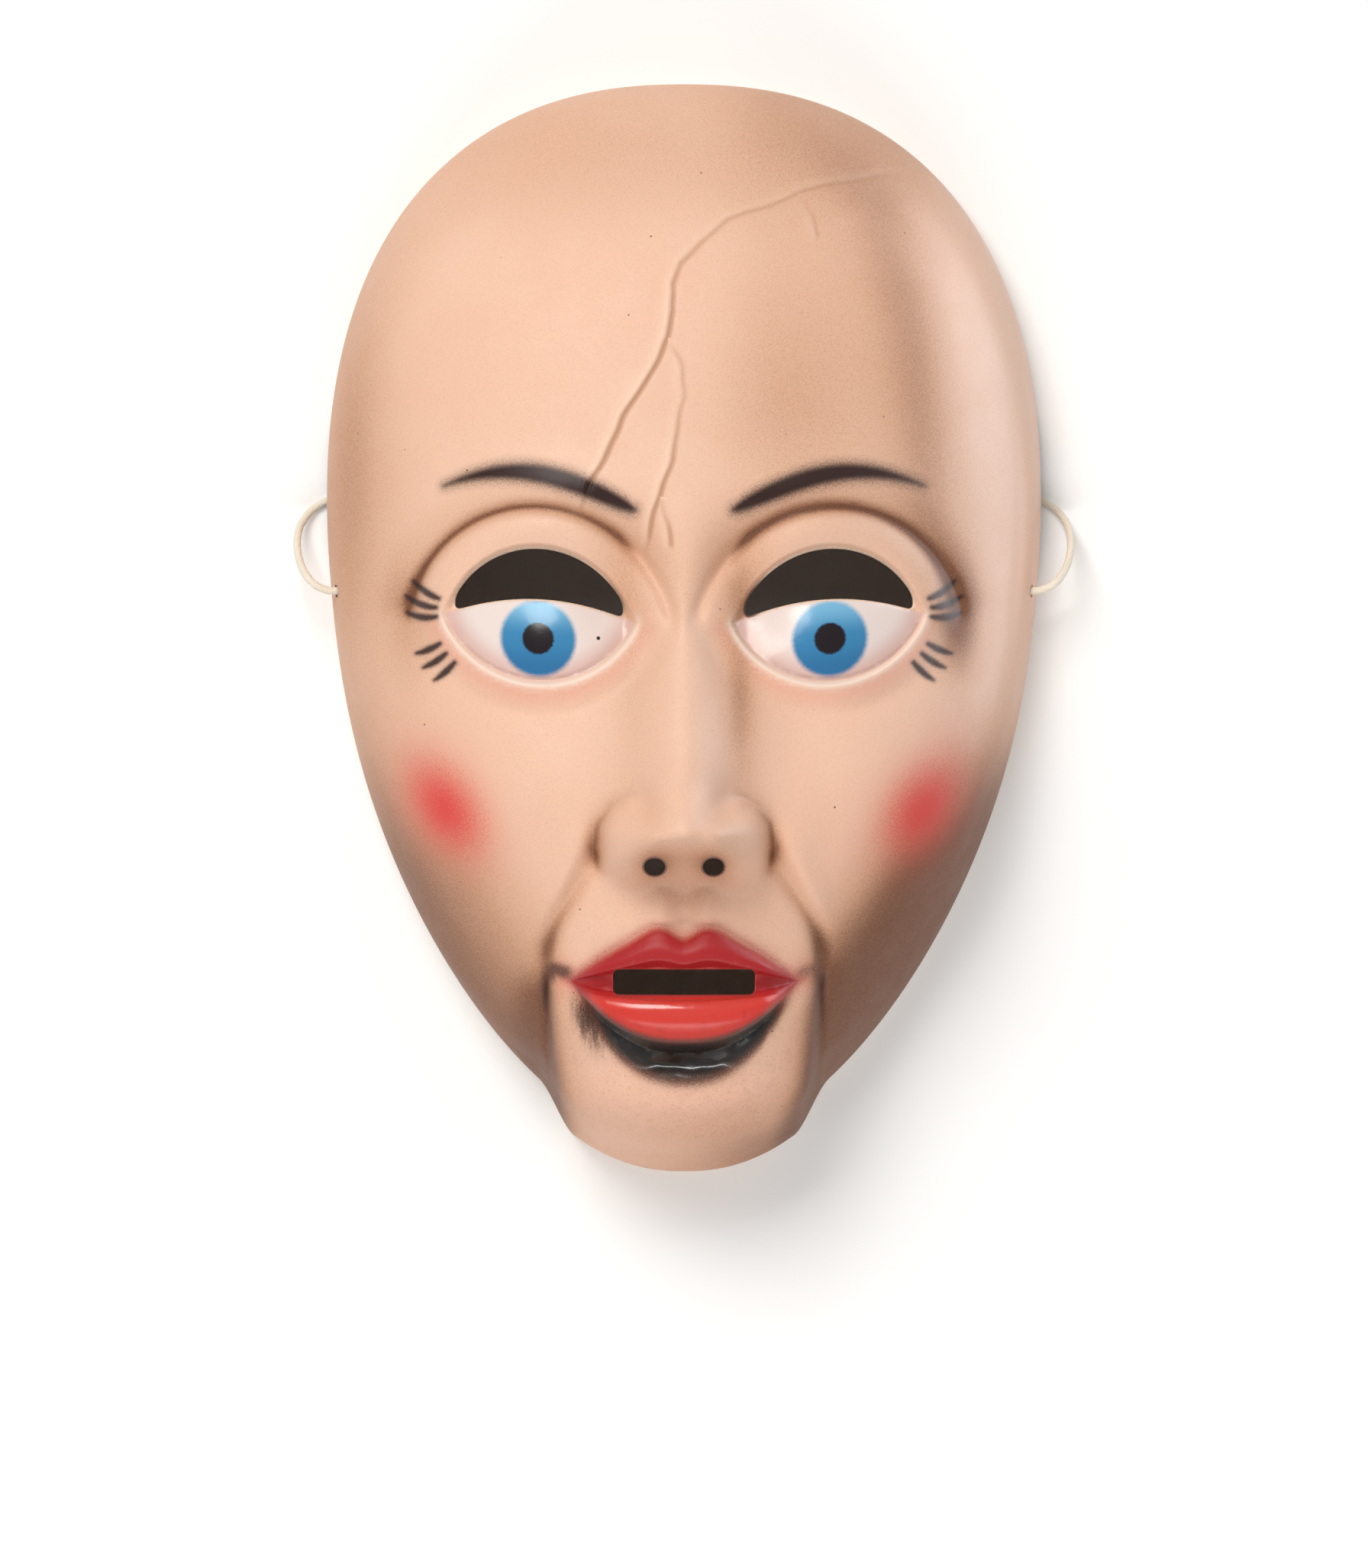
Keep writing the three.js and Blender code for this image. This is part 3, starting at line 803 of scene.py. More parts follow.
def shade_amount(x, y, gap, high, reach):
    """Painted shade in brown where shade falls: in the sockets, creases and folds, round the nose, under
    the lower lip, beside the jaw panel and inside the outline, heavier on the right; with a brown smudge on
    the forehead and a haze under the wet paint.
    """
    side = np.abs(x)
    # Painted shade in the lid creases, the sockets and the outer eye corners, along the folds, and round
    # and under the nose, heavier on the right
    lid_line = (0.5 * bell(gap - 8.3, 1.8) + 0.3 * bell(gap - 8.3, 0.6)) * high * smooth(9, 15, side)
    socket = pair(x, y, 13, 8, 7, 11, 0.36) + 0.16 * bell(gap - 12, 4) * high
    right = smooth(-20, 30, x)
    corner = (0.36 + 0.44 * right) * pair(x, y, 61, -1, 6, 13, 1)
    fold = (0.25 + 0.4 * smooth(-50, -74, y)) * bell(side - fold_x(y) + 0.4, 2.2) * fold_reach(y)
    groove, along = line_gap(side, y, WING_GROOVE)
    wing = (0.34 * bell(groove, 2.2) + 0.26 * bell(groove, 0.9)) * smooth(0, 0.6, along)
    nose = (
        wing * smooth(1, 0.7, along)
        + (0.14 + 0.6 * right) * pair(x, y, 12, -16, 4.5, 22, 1)
        + pair(x, y, NOSTRIL_X, NOSTRIL_Y, 4.4, 3.6, 0.5)
        + pair(x, y, 6.5, -43, 3, 5, 0.16)
        + bump(x, y, 0, -51.5, 12, 3.6, 0.34)
        + bump(x, y, 0, -60, 13, 3.5, 0.35)
    )
    # Painted shade on the lower cheeks, heavier on the right, and inside the outline, less where the temple
    # is lit
    lower_cheek = smooth(0.58, 0.86, reach) * smooth(-6, -62, y) * smooth(18, 34, side)
    cheek_edge = (0.58 + 0.4 * right) * lower_cheek
    lit_temple = smooth(25, 55, x) * smooth(-30, 10, y)
    outline = 0.22 * smooth(0.82, 0.97, reach) * (1 - 0.85 * lit_temple) * (1 - 0.9 * smooth(80, 102, y))
    # Painted shade beside the jaw panel, under the lower lip, on the right of the chin and at the temples,
    # mostly the left; a brown haze under the wet paint
    beside_jaw = side - panel_edge(y)
    jaw = (0.34 * bell(beside_jaw - 3, 5) + 0.3 * bell(beside_jaw - 1.4, 1.2)) * smooth(-74, -84, y)
    chin = 0.45 * smooth(6, 0, pool_gap(side, y)) + 0.55 * right * smooth(-100, -118, y)
    under_lip = 0.36 * smooth(5, 0, lip_gap(side, y)) * smooth(MOUTH_Y - 1, MOUTH_Y - 6, y)
    temple = (0.38 - 0.32 * right) * bell(side - 72, 10) * bell(y - 30, 42)
    # Painted shade in a band down the right of the forehead, along its top and over its right half, with a
    # brown smudge beside the band
    dirt_and_shade, along = line_gap(x, y, ((24, 114), (43, 92), (50, 66), (54, 40), (57, 14), (60, -8)))
    forehead = (
        0.37 * bell(dirt_and_shade, 9) * smooth(1, 0.75, along) * smooth(-0.05, 0.35, along)
        + bump(x, y, 22, 48, 19, 25, 0.22)
        + 0.3 * smooth(78, 110, y)
        + 0.16 * smooth(0, 22, x) * smooth(66, 50, x) * smooth(10, 35, y)
    )
    return np.clip(
        lid_line + socket + corner + fold + nose + cheek_edge + outline + jaw + chin + under_lip + temple
        + forehead, 0, 1
    )


def black_mist_and_shadow_amount(x, y):
    """Black airbrush round the wet paint and at the corners of the mouth, and painted shadow under the
    lower lip.
    """
    side = np.abs(x)
    pool = smooth(6, -1, pool_gap(side, y))
    # Painted shadow under the lower lip
    lip_side = 0.55 * bell(lip_gap(side, y) - 0.8, 2.2) * smooth(MOUTH_Y - 2, MOUTH_Y - 8, y)
    off_the_lip = 0.1 + 0.9 * smooth(-2.4, 0.6, lip_gap(side, y))
    smudge, along = line_gap(side, y, ((22.5, -79), (26, -77.2), (29, -76.4), (30.4, -80), (30.6, -92)))
    corner = (0.5 - 0.1 * np.sign(x)) * bell(smudge, 2.0) * smooth(0, 0.3, along) * smooth(1, 0.5, along)
    return np.clip(np.maximum.reduce((pool, lip_side, corner)), 0, 1) * off_the_lip


def smear_and_shade_amount(x, y):
    """Black rubbed on in strokes beside the wet paint, and dirt with painted shade in the slits."""
    # Dirt and painted shade in the slits beside the jaw panel
    slit = 0.7 * bell(np.abs(x) - panel_edge(y) - 1.1, 1.2) * slit_reach(y) * smooth(-99, -80, y)
    rubbed = 0.7 * bell(x + 20.5 + 0.3 * (y + 90), 3.2) * bell(y + 88, 7)
    return np.clip(slit + rubbed, 0, 1)


def paint_maps(x, y):
    """What the paint reads at each point, by name: amounts from 0 to 1, and distances in millimetres."""
    side = np.abs(x)
    u, v, gap = eye_gap(side, y)
    high = smooth(-3.5, 3.5, v)
    crack, depth = crack_line(x, y)
    cracked = np.clip(depth / CRACK_DEPTHS[0], 0, 1)
    cheek = np.hypot(side - 53 - 0.35 * (y + 41), (y + 41) / 1.3)
    reach = reach_at(x, y)
    flush = (
        0.85 * bell(cheek, 11)
        + 0.4 * bell(gap - 3.0, 2.2) * (1 - high)
        + 0.4 * smooth(3.5, 0, lip_gap(side, y))
        + 0.8 * bell(side - 27, 3.2) * bell(y + 78, 4.5)
        + 0.14 * smooth(-60, -110, y)
    )
    return {
        "shade": shade_amount(x, y, gap, high, reach),
        "black_mist_and_shadow": black_mist_and_shadow_amount(x, y),
        "smear_and_shade": smear_and_shade_amount(x, y),
        "flush": np.clip(flush, 0, 1),
        "rouge": bell(cheek, 8),
        # Grit on the lower face, heavier towards the bottom and on the right, where it also paints shade
        "dirt_and_shade": smooth(-50, -105, y) * (0.7 + 0.3 * smooth(-20, 30, x)),
        "satin": smooth(46, 66, x - 9 * smooth(40, -10, y)) * smooth(-70, -10, y),
        "rim": smooth(0.9, 0.98, reach),
        # Worn paint and a painted highlight along the trimmed edge
        "rim_wear_and_highlight": smooth(0.997, 0.9998, reach),
        "lip_gap": lip_gap(side, y),
        "lip_low": MOUTH_Y - y,
        "brow_gap": brow_gap(side, y),
        "lash_gap": lash_gap(side, y),
        "eye_gap": gap,
        "eye_top": v - plate_top(u),
        "eye_rim_highlight": bell(gap - 0.9, 0.85) * (1 - high),
        "iris_gap": np.hypot(u, v + IRIS_DROP),
        "iris_high": v + IRIS_DROP,
        # Each crack's line, painted as shade in its groove, and its ridge, painted as a highlight
        "crack": bell(crack, 0.55) * cracked,
        "crack_ridge_highlight": bell(crack + 1.2, 0.9) * cracked,
        "pool_gap": pool_gap(side, y),
        "pool_wet": bell(bead_gap(x, y), 1.7) * (1 - smooth(POOL_HALF - 6, POOL_HALF - 2, side)),
    }


def add_paint_maps(piece):
    data = piece.data
    places = np.empty(len(data.vertices) * 3, np.float32)
    data.vertices.foreach_get("co", places)
    x, y = places.reshape(-1, 3)[:, :2].T.astype(float) / MM
    for name, values in paint_maps(x, y).items():
        layer = data.attributes.new(name, "FLOAT", "POINT")
        layer.data.foreach_set("value", values.astype(np.float32))


def sharpen(piece):
    """Keeps the corners of the cut edges crisp."""
    mesh = bmesh.new()
    mesh.from_mesh(piece.data)
    for edge in mesh.edges:
        faces = edge.link_faces
        if len(faces) == 2 and edge.calc_face_angle(0) > math.radians(CRISP_DEGREES):
            edge.smooth = faces[0].material_index == faces[1].material_index
    mesh.to_mesh(piece.data)
    mesh.free()


# Materials


def tint(red, green, blue):
    """A colour as it is seen on a screen, from 0 to 255, in the linear light that shaders use."""
    shares = (value / 255 for value in (red, green, blue))
    return tuple(s / 12.92 if s <= 0.04045 else ((s + 0.055) / 1.055) ** 2.4 for s in shares) + (1.0,)


SKIN = tint(231, 190, 165)
SKIN_WARM = tint(226, 176, 148)
TAN = tint(184, 130, 92)
BROWN = tint(88, 42, 24)
GREY_BROWN = tint(98, 74, 62)
UMBER = tint(46, 22, 18)
BLACK = tint(28, 18, 15)
WET_BLACK = tint(15, 10, 9)
PINK = tint(228, 124, 112)
ROUGE = tint(216, 54, 52)
LIP_UPPER = tint(168, 28, 32)
LIP_LOWER = tint(208, 58, 49)
PALE_HIGHLIGHT = tint(248, 222, 196)
EYE_RIM_HIGHLIGHT = tint(244, 226, 212)
EYE_WHITE = tint(230, 214, 208)
EYE_SHADE = tint(205, 158, 146)
IRIS = tint(58, 130, 176)
# The iris's painted highlight and painted shade
IRIS_HIGHLIGHT = tint(120, 180, 214)
IRIS_SHADE = tint(46, 110, 158)
PUPIL = tint(28, 20, 26)
BARE = tint(226, 190, 164)
BARE_WARM = tint(212, 170, 142)
RAW_EDGE = tint(240, 212, 188)
ELASTIC = tint(238, 230, 214)
ELASTIC_DIM = tint(206, 192, 170)

FACE_SLOT, BARE_SLOT, EDGE_SLOT = range(3)


class Graph:
    """The nodes of a material or a group. Most calls add one node and give the value it puts out."""

    def __init__(self, tree):
        self.tree = tree

    def node(self, kind, inputs=(), **settings):
        made = self.tree.nodes.new(kind)
        for name, value in settings.items():
            setattr(made, name, value)
        self.feed(made, inputs)
        return made

    def feed(self, node, inputs):
        for key, value in dict(inputs).items():
            if isinstance(value, bpy.types.NodeSocket):
                self.tree.links.new(value, node.inputs[key])
            else:
                node.inputs[key].default_value = value

    def attribute(self, name):
        return self.node("ShaderNodeAttribute", attribute_name=name).outputs["Fac"]

    def place(self):
        return self.node("ShaderNodeTexCoord").outputs["Object"]

    def noise(self, place, size, detail, roughness=0.5):
        """Soft noise from 0 to 1, with blotches of about this size in millimetres."""
        inputs = {"Vector": place, "Scale": 1 / (size * MM), "Detail": detail, "Roughness": roughness}
        return self.node("ShaderNodeTexNoise", inputs).outputs[0]

    def math(self, operation, first, second):
        return self.node("ShaderNodeMath", {0: first, 1: second}, operation=operation).outputs[0]

    def between(self, value, low, high, to_low=0.0, to_high=1.0):
        """A smooth step from one value to another as the input goes from low to high."""
        inputs = {0: value, 1: low, 2: high, 3: to_low, 4: to_high}
        return self.node("ShaderNodeMapRange", inputs, interpolation_type="SMOOTHSTEP").outputs[0]

    def mix(self, share, below, above):
        """One colour laid over another."""
        return self.node("ShaderNodeMix", {0: share, 6: below, 7: above}, data_type="RGBA").outputs[2]

    def blend(self, share, below, above):
        """The same for plain numbers."""
        return self.node("ShaderNodeMix", {0: share, 2: below, 3: above}, data_type="FLOAT").outputs[0]

    def group(self, tree, inputs):
        made = self.node("ShaderNodeGroup", node_tree=tree)
        self.feed(made, inputs)
        return made.outputs


def new_group(name, inputs, outputs):
    tree = bpy.data.node_groups.new(name, "ShaderNodeTree")
    for label, default in inputs:
        socket = tree.interface.new_socket(label, in_out="INPUT", socket_type="NodeSocketFloat")
        socket.default_value = default
    for label in outputs:
        tree.interface.new_socket(label, in_out="OUTPUT", socket_type="NodeSocketFloat")
    graph = Graph(tree)
    return tree, graph, graph.node("NodeGroupInput").outputs, graph.node("NodeGroupOutput")


def make_spray():
    """Paint laid on as a fine mist: the amount breaks up into specks where it is thin."""
    tree, graph, given, out = new_group(
        "sprayed paint", (("Amount", 0.0), ("Grain", 0.5), ("Speck", 0.35)), ("Cover",)
    )
    scale = graph.math("DIVIDE", 1 / MM, given["Speck"])
    mist = graph.node(
        "ShaderNodeTexNoise", {"Vector": graph.place(), "Scale": scale, "Detail": 3.0, "Roughness": 0.6}
    )
    even = graph.between(mist.outputs[0], 0.28, 0.72)
    bare = graph.math("SUBTRACT", 1.0, given["Amount"])
    specks = graph.between(even, graph.math("SUBTRACT", bare, 0.3), graph.math("ADD", bare, 0.3))
    laid = graph.math("MINIMUM", graph.math("MULTIPLY", given["Amount"], 4.0), 1.0)
    cover = graph.blend(given["Grain"], given["Amount"], graph.math("MULTIPLY", specks, laid))
    graph.tree.links.new(cover, out.inputs["Cover"])
    return tree


def make_plastic_grain():
    """The faint orange peel and pits of moulded plastic, as a height and as a blotchy value."""
    tree, graph, given, out = new_group(
        "plastic grain", (("Peel", 1.0), ("Grain", 0.4)), ("Height", "Blotch")
    )
    place = graph.place()
    peel = graph.math("MULTIPLY", graph.noise(place, 1.6, 1.0), given["Peel"])
    grain = graph.math("MULTIPLY", graph.noise(place, 0.3, 2.0, 0.6), given["Grain"])
    graph.tree.links.new(graph.math("ADD", peel, grain), out.inputs["Height"])
    graph.tree.links.new(graph.noise(place, 9.0, 3.0, 0.6), out.inputs["Blotch"])
    return tree


def new_material(name, constants):
    material = bpy.data.materials.new(name)
    material.use_nodes = True
    shader = material.node_tree.nodes["Principled BSDF"]
    for key, value in constants.items():
        shader.inputs[key].default_value = value
    return material, Graph(material.node_tree), shader


def wire(graph, shader, **sockets):
    for name, value in sockets.items():
        graph.tree.links.new(value, shader.inputs[name.replace("_", " ")])


def relief_normal(graph, height, strength, depth):
    inputs = {"Strength": strength, "Distance": depth * MM, "Height": height}
    return graph.node("ShaderNodeBump", inputs).outputs[0]


def painted_face(spray, plastic_grain):
    """Skin-coloured plastic with airbrushed paint, painted shade and painted highlights, and gloss paint on
    the eyes and the lips.
    """
    material, graph, shader = new_material("painted face", {"IOR": 1.43, "Coat Roughness": 0.06})
    place = graph.place()
    amount = {name: graph.attribute(name) for name in paint_maps(np.zeros(1), np.zeros(1))}
    grain = graph.group(plastic_grain, {"Peel": 1.0, "Grain": 0.5})

    def sprayed(value, grainy=0.24, speck=0.25):
        return graph.group(spray, {"Amount": value, "Grain": grainy, "Speck": speck})["Cover"]

    def times(value, factor):
        return graph.math("MULTIPLY", value, factor)

    def edged(value, softness, waver=0.0, size=1.5):
        """Full inside an outline, none outside, with a soft and slightly wavering edge."""
        if waver:
            shift = times(graph.math("SUBTRACT", graph.noise(place, size, 3.0), 0.5), waver)
            value = graph.math("ADD", value, shift)
        return graph.between(value, softness, -softness)

    # Skin, mottled at three scales
    blotch = graph.between(grain["Blotch"], 0.35, 0.68)
    broad = graph.between(graph.noise(place, 46.0, 2.0), 0.35, 0.65)
    colour = graph.mix(times(broad, 0.35), SKIN, SKIN_WARM)
    colour = graph.mix(times(blotch, 0.12), colour, SKIN_WARM)
    colour = graph.mix(times(sprayed(0.3, 1.0, 0.4), 0.09), colour, GREY_BROWN)

    # Grit in blotches on the lower face, heavier towards the chin and on the right, where it also paints
    # shade, and a few black specks in the plastic
    mottle = graph.between(graph.noise(place, 2.6, 4.0, 0.7), 0.45, 0.75)
    colour = graph.mix(times(times(mottle, amount["dirt_and_shade"]), 0.13), colour, GREY_BROWN)
    grit = graph.between(graph.noise(place, 0.6, 3.0, 0.65), 0.57, 0.7)
    colour = graph.mix(times(times(grit, amount["dirt_and_shade"]), 0.3), colour, BROWN)
    cells = graph.node("ShaderNodeTexVoronoi", {"Vector": place, "Scale": 1 / (9 * MM)})
    colour = graph.mix(graph.between(cells.outputs["Distance"], 0.032, 0.018, 0.0, 0.85), colour, BLACK)

    # Airbrushed pink flush and rouge, with painted shade in tan and brown and umber specks
    colour = graph.mix(sprayed(times(amount["flush"], 0.62)), colour, PINK)
    colour = graph.mix(sprayed(graph.math("MINIMUM", times(amount["shade"], 1.15), 1.0)), colour, TAN)
    colour = graph.mix(sprayed(graph.between(amount["shade"], 0.32, 1.0, 0.0, 0.74)), colour, BROWN)
    colour = graph.mix(times(sprayed(times(amount["shade"], 0.4), 1.0, 0.4), 0.18), colour, UMBER)
    colour = graph.mix(sprayed(times(amount["rouge"], 0.9)), colour, ROUGE)

    # Cracks: painted shade as a thin tan and brown line in the groove, and a painted highlight on the ridge
    # beside it
    colour = graph.mix(times(amount["crack"], 0.7), colour, TAN)
    colour = graph.mix(times(amount["crack"], 0.2), colour, BROWN)
    colour = graph.mix(times(amount["crack_ridge_highlight"], 0.25), colour, PALE_HIGHLIGHT)

    # The paint is worn thin along the trimmed edge, and painted paler there as a highlight
    colour = graph.mix(times(amount["rim_wear_and_highlight"], 0.4), colour, PALE_HIGHLIGHT)

    # Doll eyes, with a stray dot of black paint on one
    # Painted shade on the whites towards the lids
    white = graph.mix(graph.between(amount["eye_gap"], -6.0, 0.2, 0.0, 0.75), EYE_WHITE, EYE_SHADE)
    # Painted shade at the bottom of each iris and a painted highlight at its top
    iris = graph.mix(graph.between(amount["iris_high"], -7.0, 1.0), IRIS_SHADE, IRIS)
    iris = graph.mix(graph.between(amount["iris_high"], 0.5, 8.0), iris, IRIS_HIGHLIGHT)
    iris_cover = edged(graph.math("SUBTRACT", amount["iris_gap"], IRIS_RADIUS), 0.75, 0.5, 0.5)
    pupil_cover = edged(graph.math("SUBTRACT", amount["iris_gap"], PUPIL_RADIUS), 0.3, 0.5, 0.5)
    eye = graph.mix(pupil_cover, graph.mix(iris_cover, white, iris), PUPIL)
    flat = graph.node("ShaderNodeMapping", {"Vector": place, "Scale": (1.0, 1.0, 0.0)}).outputs[0]
    centre = (DOT_AT[0] * MM, DOT_AT[1] * MM, 0.0)
    away = graph.node("ShaderNodeVectorMath", {0: flat, 1: centre}, operation="DISTANCE").outputs["Value"]
    outside, inside = (DOT_RADIUS + 0.08) * MM, (DOT_RADIUS - 0.07) * MM
    eye = graph.mix(graph.between(away, outside, inside, 0.0, 0.95), eye, BLACK)
    eye_cover = times(edged(amount["eye_gap"], 0.4), edged(amount["eye_top"], 0.5))
    colour = graph.mix(eye_cover, colour, eye)
    # A pale rim under each eye: pale paint with a painted highlight on the raised lower lid
    colour = graph.mix(times(amount["eye_rim_highlight"], 0.75), colour, EYE_RIM_HIGHLIGHT)

    # Brows and lashes
    brow_mist = graph.between(amount["brow_gap"], 2.8, -0.8, 0.0, 0.6)
    colour = graph.mix(sprayed(brow_mist, 0.35), colour, UMBER)
    brow_cover = edged(amount["brow_gap"], 0.9, 0.5, 0.5)
    colour = graph.mix(brow_cover, colour, UMBER)
    lash_mist = graph.between(amount["lash_gap"], 1.2, -0.2, 0.0, 0.3)
    colour = graph.mix(sprayed(lash_mist, 0.3), colour, UMBER)
    colour = graph.mix(times(edged(amount["lash_gap"], 0.45, 0.4, 0.6), 0.95), colour, UMBER)

    # Lips
    lip_mist = graph.between(amount["lip_gap"], 3.0, -0.5, 0.0, 0.55)
    colour = graph.mix(sprayed(lip_mist, 0.3), colour, LIP_UPPER)
    lip_cover = edged(amount["lip_gap"], 0.8, 0.6, 1.0)
    # Painted shade: the lower lip turns darker red towards its edges
    inner_lip = graph.between(amount["lip_gap"], -0.2, -2.4, 0.45, 1.0)
    lips = graph.mix(times(graph.between(amount["lip_low"], 1.5, 4.0), inner_lip), LIP_UPPER, LIP_LOWER)
    lips = graph.mix(graph.between(graph.noise(place, 3.0, 3.0), 0.55, 0.8, 0.0, 0.35), lips, LIP_UPPER)
    colour = graph.mix(lip_cover, colour, lips)

    # Black paint: a mist, which also paints shadow under the lower lip, then strokes drawn out sideways,
    # which also paint shade in the slits, then the wet paint
    colour = graph.mix(sprayed(graph.between(amount["black_mist_and_shadow"], 0.0, 0.6, 0.0, 0.8), 0.3), colour, BROWN)
    colour = graph.mix(sprayed(graph.between(amount["black_mist_and_shadow"], 0.3, 1.0, 0.0, 0.97), 0.3), colour, BLACK)
    drawn_out = graph.node("ShaderNodeMapping", {"Vector": place, "Scale": (1.0, 0.16, 0.16)}).outputs[0]
    strokes = graph.between(graph.noise(drawn_out, 1.5, 4.0, 0.6), 0.3, 0.68, 0.5, 1.0)
    # The strokes carry the rubbed black and the dirt and painted shade in the slits
    rubbed = times(amount["smear_and_shade"], strokes)
    colour = graph.mix(sprayed(graph.between(rubbed, 0.0, 0.55, 0.0, 0.75), 0.3), colour, BROWN)
    colour = graph.mix(sprayed(graph.between(rubbed, 0.2, 0.9, 0.0, 0.9), 0.3), colour, BLACK)
    off_the_lip = graph.between(amount["lip_gap"], -0.8, 1.2)
    pool_cover = times(edged(amount["pool_gap"], 2.0, 1.8, 2.5), off_the_lip)
    colour = graph.mix(pool_cover, colour, WET_BLACK)

    # Gloss: satin skin, smoother over the lit temple, and gloss on the eyes, the lips and the wet paint
    lip_gloss = graph.between(amount["lip_gap"], -4.4, -6.8)
    lip_gloss = times(lip_gloss, graph.between(amount["lip_low"], 2.0, 4.5, 0.08, 1.0))
    lip_roughness = graph.between(amount["lip_low"], 1.0, 4.0, 0.48, 0.34)
    wet = graph.math("MAXIMUM", lip_gloss, amount["pool_wet"])
    roughness = graph.between(grain["Blotch"], 0.25, 0.75, 0.5, 0.6)
    roughness = graph.math("SUBTRACT", roughness, times(amount["satin"], 0.2))
    roughness = graph.blend(brow_cover, graph.blend(eye_cover, roughness, 0.22), 0.42)
    roughness = graph.blend(pool_cover, graph.blend(lip_cover, roughness, lip_roughness), 0.26)
    roughness = graph.blend(wet, roughness, 0.22)

    # Relief too fine for the mesh: the grain, the sparkle over the lit temple and the lips' creases
    creases = times(times(graph.noise(drawn_out, 1.3, 1.0), lip_cover), 2.5)
    smoothed = times(graph.blend(wet, 1.0, 0.35), graph.blend(amount["rim"], 1.0, 0.3))
    sparkle = times(times(graph.noise(place, 0.55, 1.0), amount["satin"]), 0.8)
    height = graph.math("ADD", times(graph.math("ADD", grain["Height"], sparkle), smoothed), creases)
    wire(
        graph, shader, Base_Color=colour, Roughness=roughness, Coat_Weight=times(wet, 0.7),
        Normal=relief_normal(graph, height, 0.8, 0.03),
    )
    return material


def bare_plastic(spray, plastic_grain):
    """The unpainted inside, with a little red mist round the mouth."""
    material, graph, shader = new_material("bare plastic", {"IOR": 1.5})
    grain = graph.group(plastic_grain, {"Peel": 0.8, "Grain": 0.6})
    colour = graph.mix(graph.between(grain["Blotch"], 0.3, 0.7, 0.0, 0.35), BARE, BARE_WARM)
    fog = graph.between(graph.attribute("lip_gap"), 4.0, -3.0, 0.0, 0.35)
    mist = graph.group(spray, {"Amount": fog, "Grain": 0.9, "Speck": 0.5})["Cover"]
    wire(
        graph, shader, Base_Color=graph.mix(mist, colour, LIP_LOWER),
        Roughness=graph.between(grain["Blotch"], 0.25, 0.75, 0.48, 0.62),
        Normal=relief_normal(graph, grain["Height"], 0.6, 0.04),
    )
    return material


def cut_edge(spray, plastic_grain):
    """The trimmed edges, where the paler plastic shows, with painted shade where the face beside them is
    shaded.
    """
    material, graph, shader = new_material("cut edge", {"IOR": 1.5})
    grain = graph.group(plastic_grain, {"Peel": 0.4, "Grain": 1.0})
    dirt = graph.group(spray, {"Amount": 0.25, "Grain": 1.0, "Speck": 0.6})["Cover"]
    colour = graph.mix(graph.math("MULTIPLY", dirt, 0.3), RAW_EDGE, GREY_BROWN)
    # Painted shade on the edges beside shaded paint, darkest in the nostrils
    colour = graph.mix(graph.between(graph.attribute("shade"), 0.2, 0.5, 0.0, 0.85), colour, BROWN)
    colour = graph.mix(graph.between(graph.attribute("lip_gap"), 1.0, -1.0, 0.0, 0.95), colour, LIP_UPPER)
    wire(
        graph, shader, Base_Color=colour,
        Roughness=graph.between(grain["Blotch"], 0.25, 0.75, 0.4, 0.55),
        Normal=relief_normal(graph, grain["Height"], 0.5, 0.04),
    )
    return material


def braided_elastic():
    """Cream thread, fuzzy and a little dull in places."""
    material, graph, shader = new_material("braided elastic", {"Roughness": 0.75, "Sheen Weight": 0.2})
    place = graph.place()
    fuzz = graph.noise(place, 0.25, 3.0, 0.7)
    dull = graph.between(graph.noise(place, 12.0, 2.0), 0.4, 0.7, 0.0, 0.3)
    colour = graph.mix(graph.between(fuzz, 0.3, 0.7, 0.0, 0.35), ELASTIC, ELASTIC_DIM)
    wire(
        graph, shader, Base_Color=graph.mix(dull, colour, ELASTIC_DIM),
        Normal=relief_normal(graph, fuzz, 0.6, 0.05),
    )
    return material


# The camera


def make_camera():
    data = bpy.data.cameras.new("camera")
    data.sensor_fit = "AUTO"
    data.sensor_width = 36.0
    data.lens = data.sensor_width * VIEW_DISTANCE / VIEW_LENGTH
    camera = bpy.data.objects.new("camera", data)
    camera.location = Vector((0.0, -VIEW_DROP, VIEW_DISTANCE + MASK_MIDDLE_HIGH)) * MM
    bpy.context.scene.collection.objects.link(camera)
    bpy.context.scene.camera = camera


# The elastic


def through(points, step):
    """A smooth line through the points, at even steps along it."""
    points = np.array(points, float)
    ends = np.concatenate((2 * points[:1] - points[1:2], points, 2 * points[-1:] - points[-2:-1]))
    t = np.linspace(0, 1, 24, endpoint=False)[:, None]
    parts = []
    for a, b, c, d in zip(ends[:-3], ends[1:-2], ends[2:-1], ends[3:]):
        bend = (2 * a - 5 * b + 4 * c - d) * t ** 2 + (3 * b - a - 3 * c + d) * t ** 3
        parts.append(0.5 * (2 * b + (c - a) * t + bend))
    line = np.concatenate(parts + [points[-1:]])
    length = np.concatenate(([0], np.cumsum(np.linalg.norm(np.diff(line, axis=0), axis=1))))
    places = np.linspace(0, length[-1], max(2, round(length[-1] / step)))
    return np.stack([np.interp(places, length, line[:, axis]) for axis in range(3)], axis=-1)


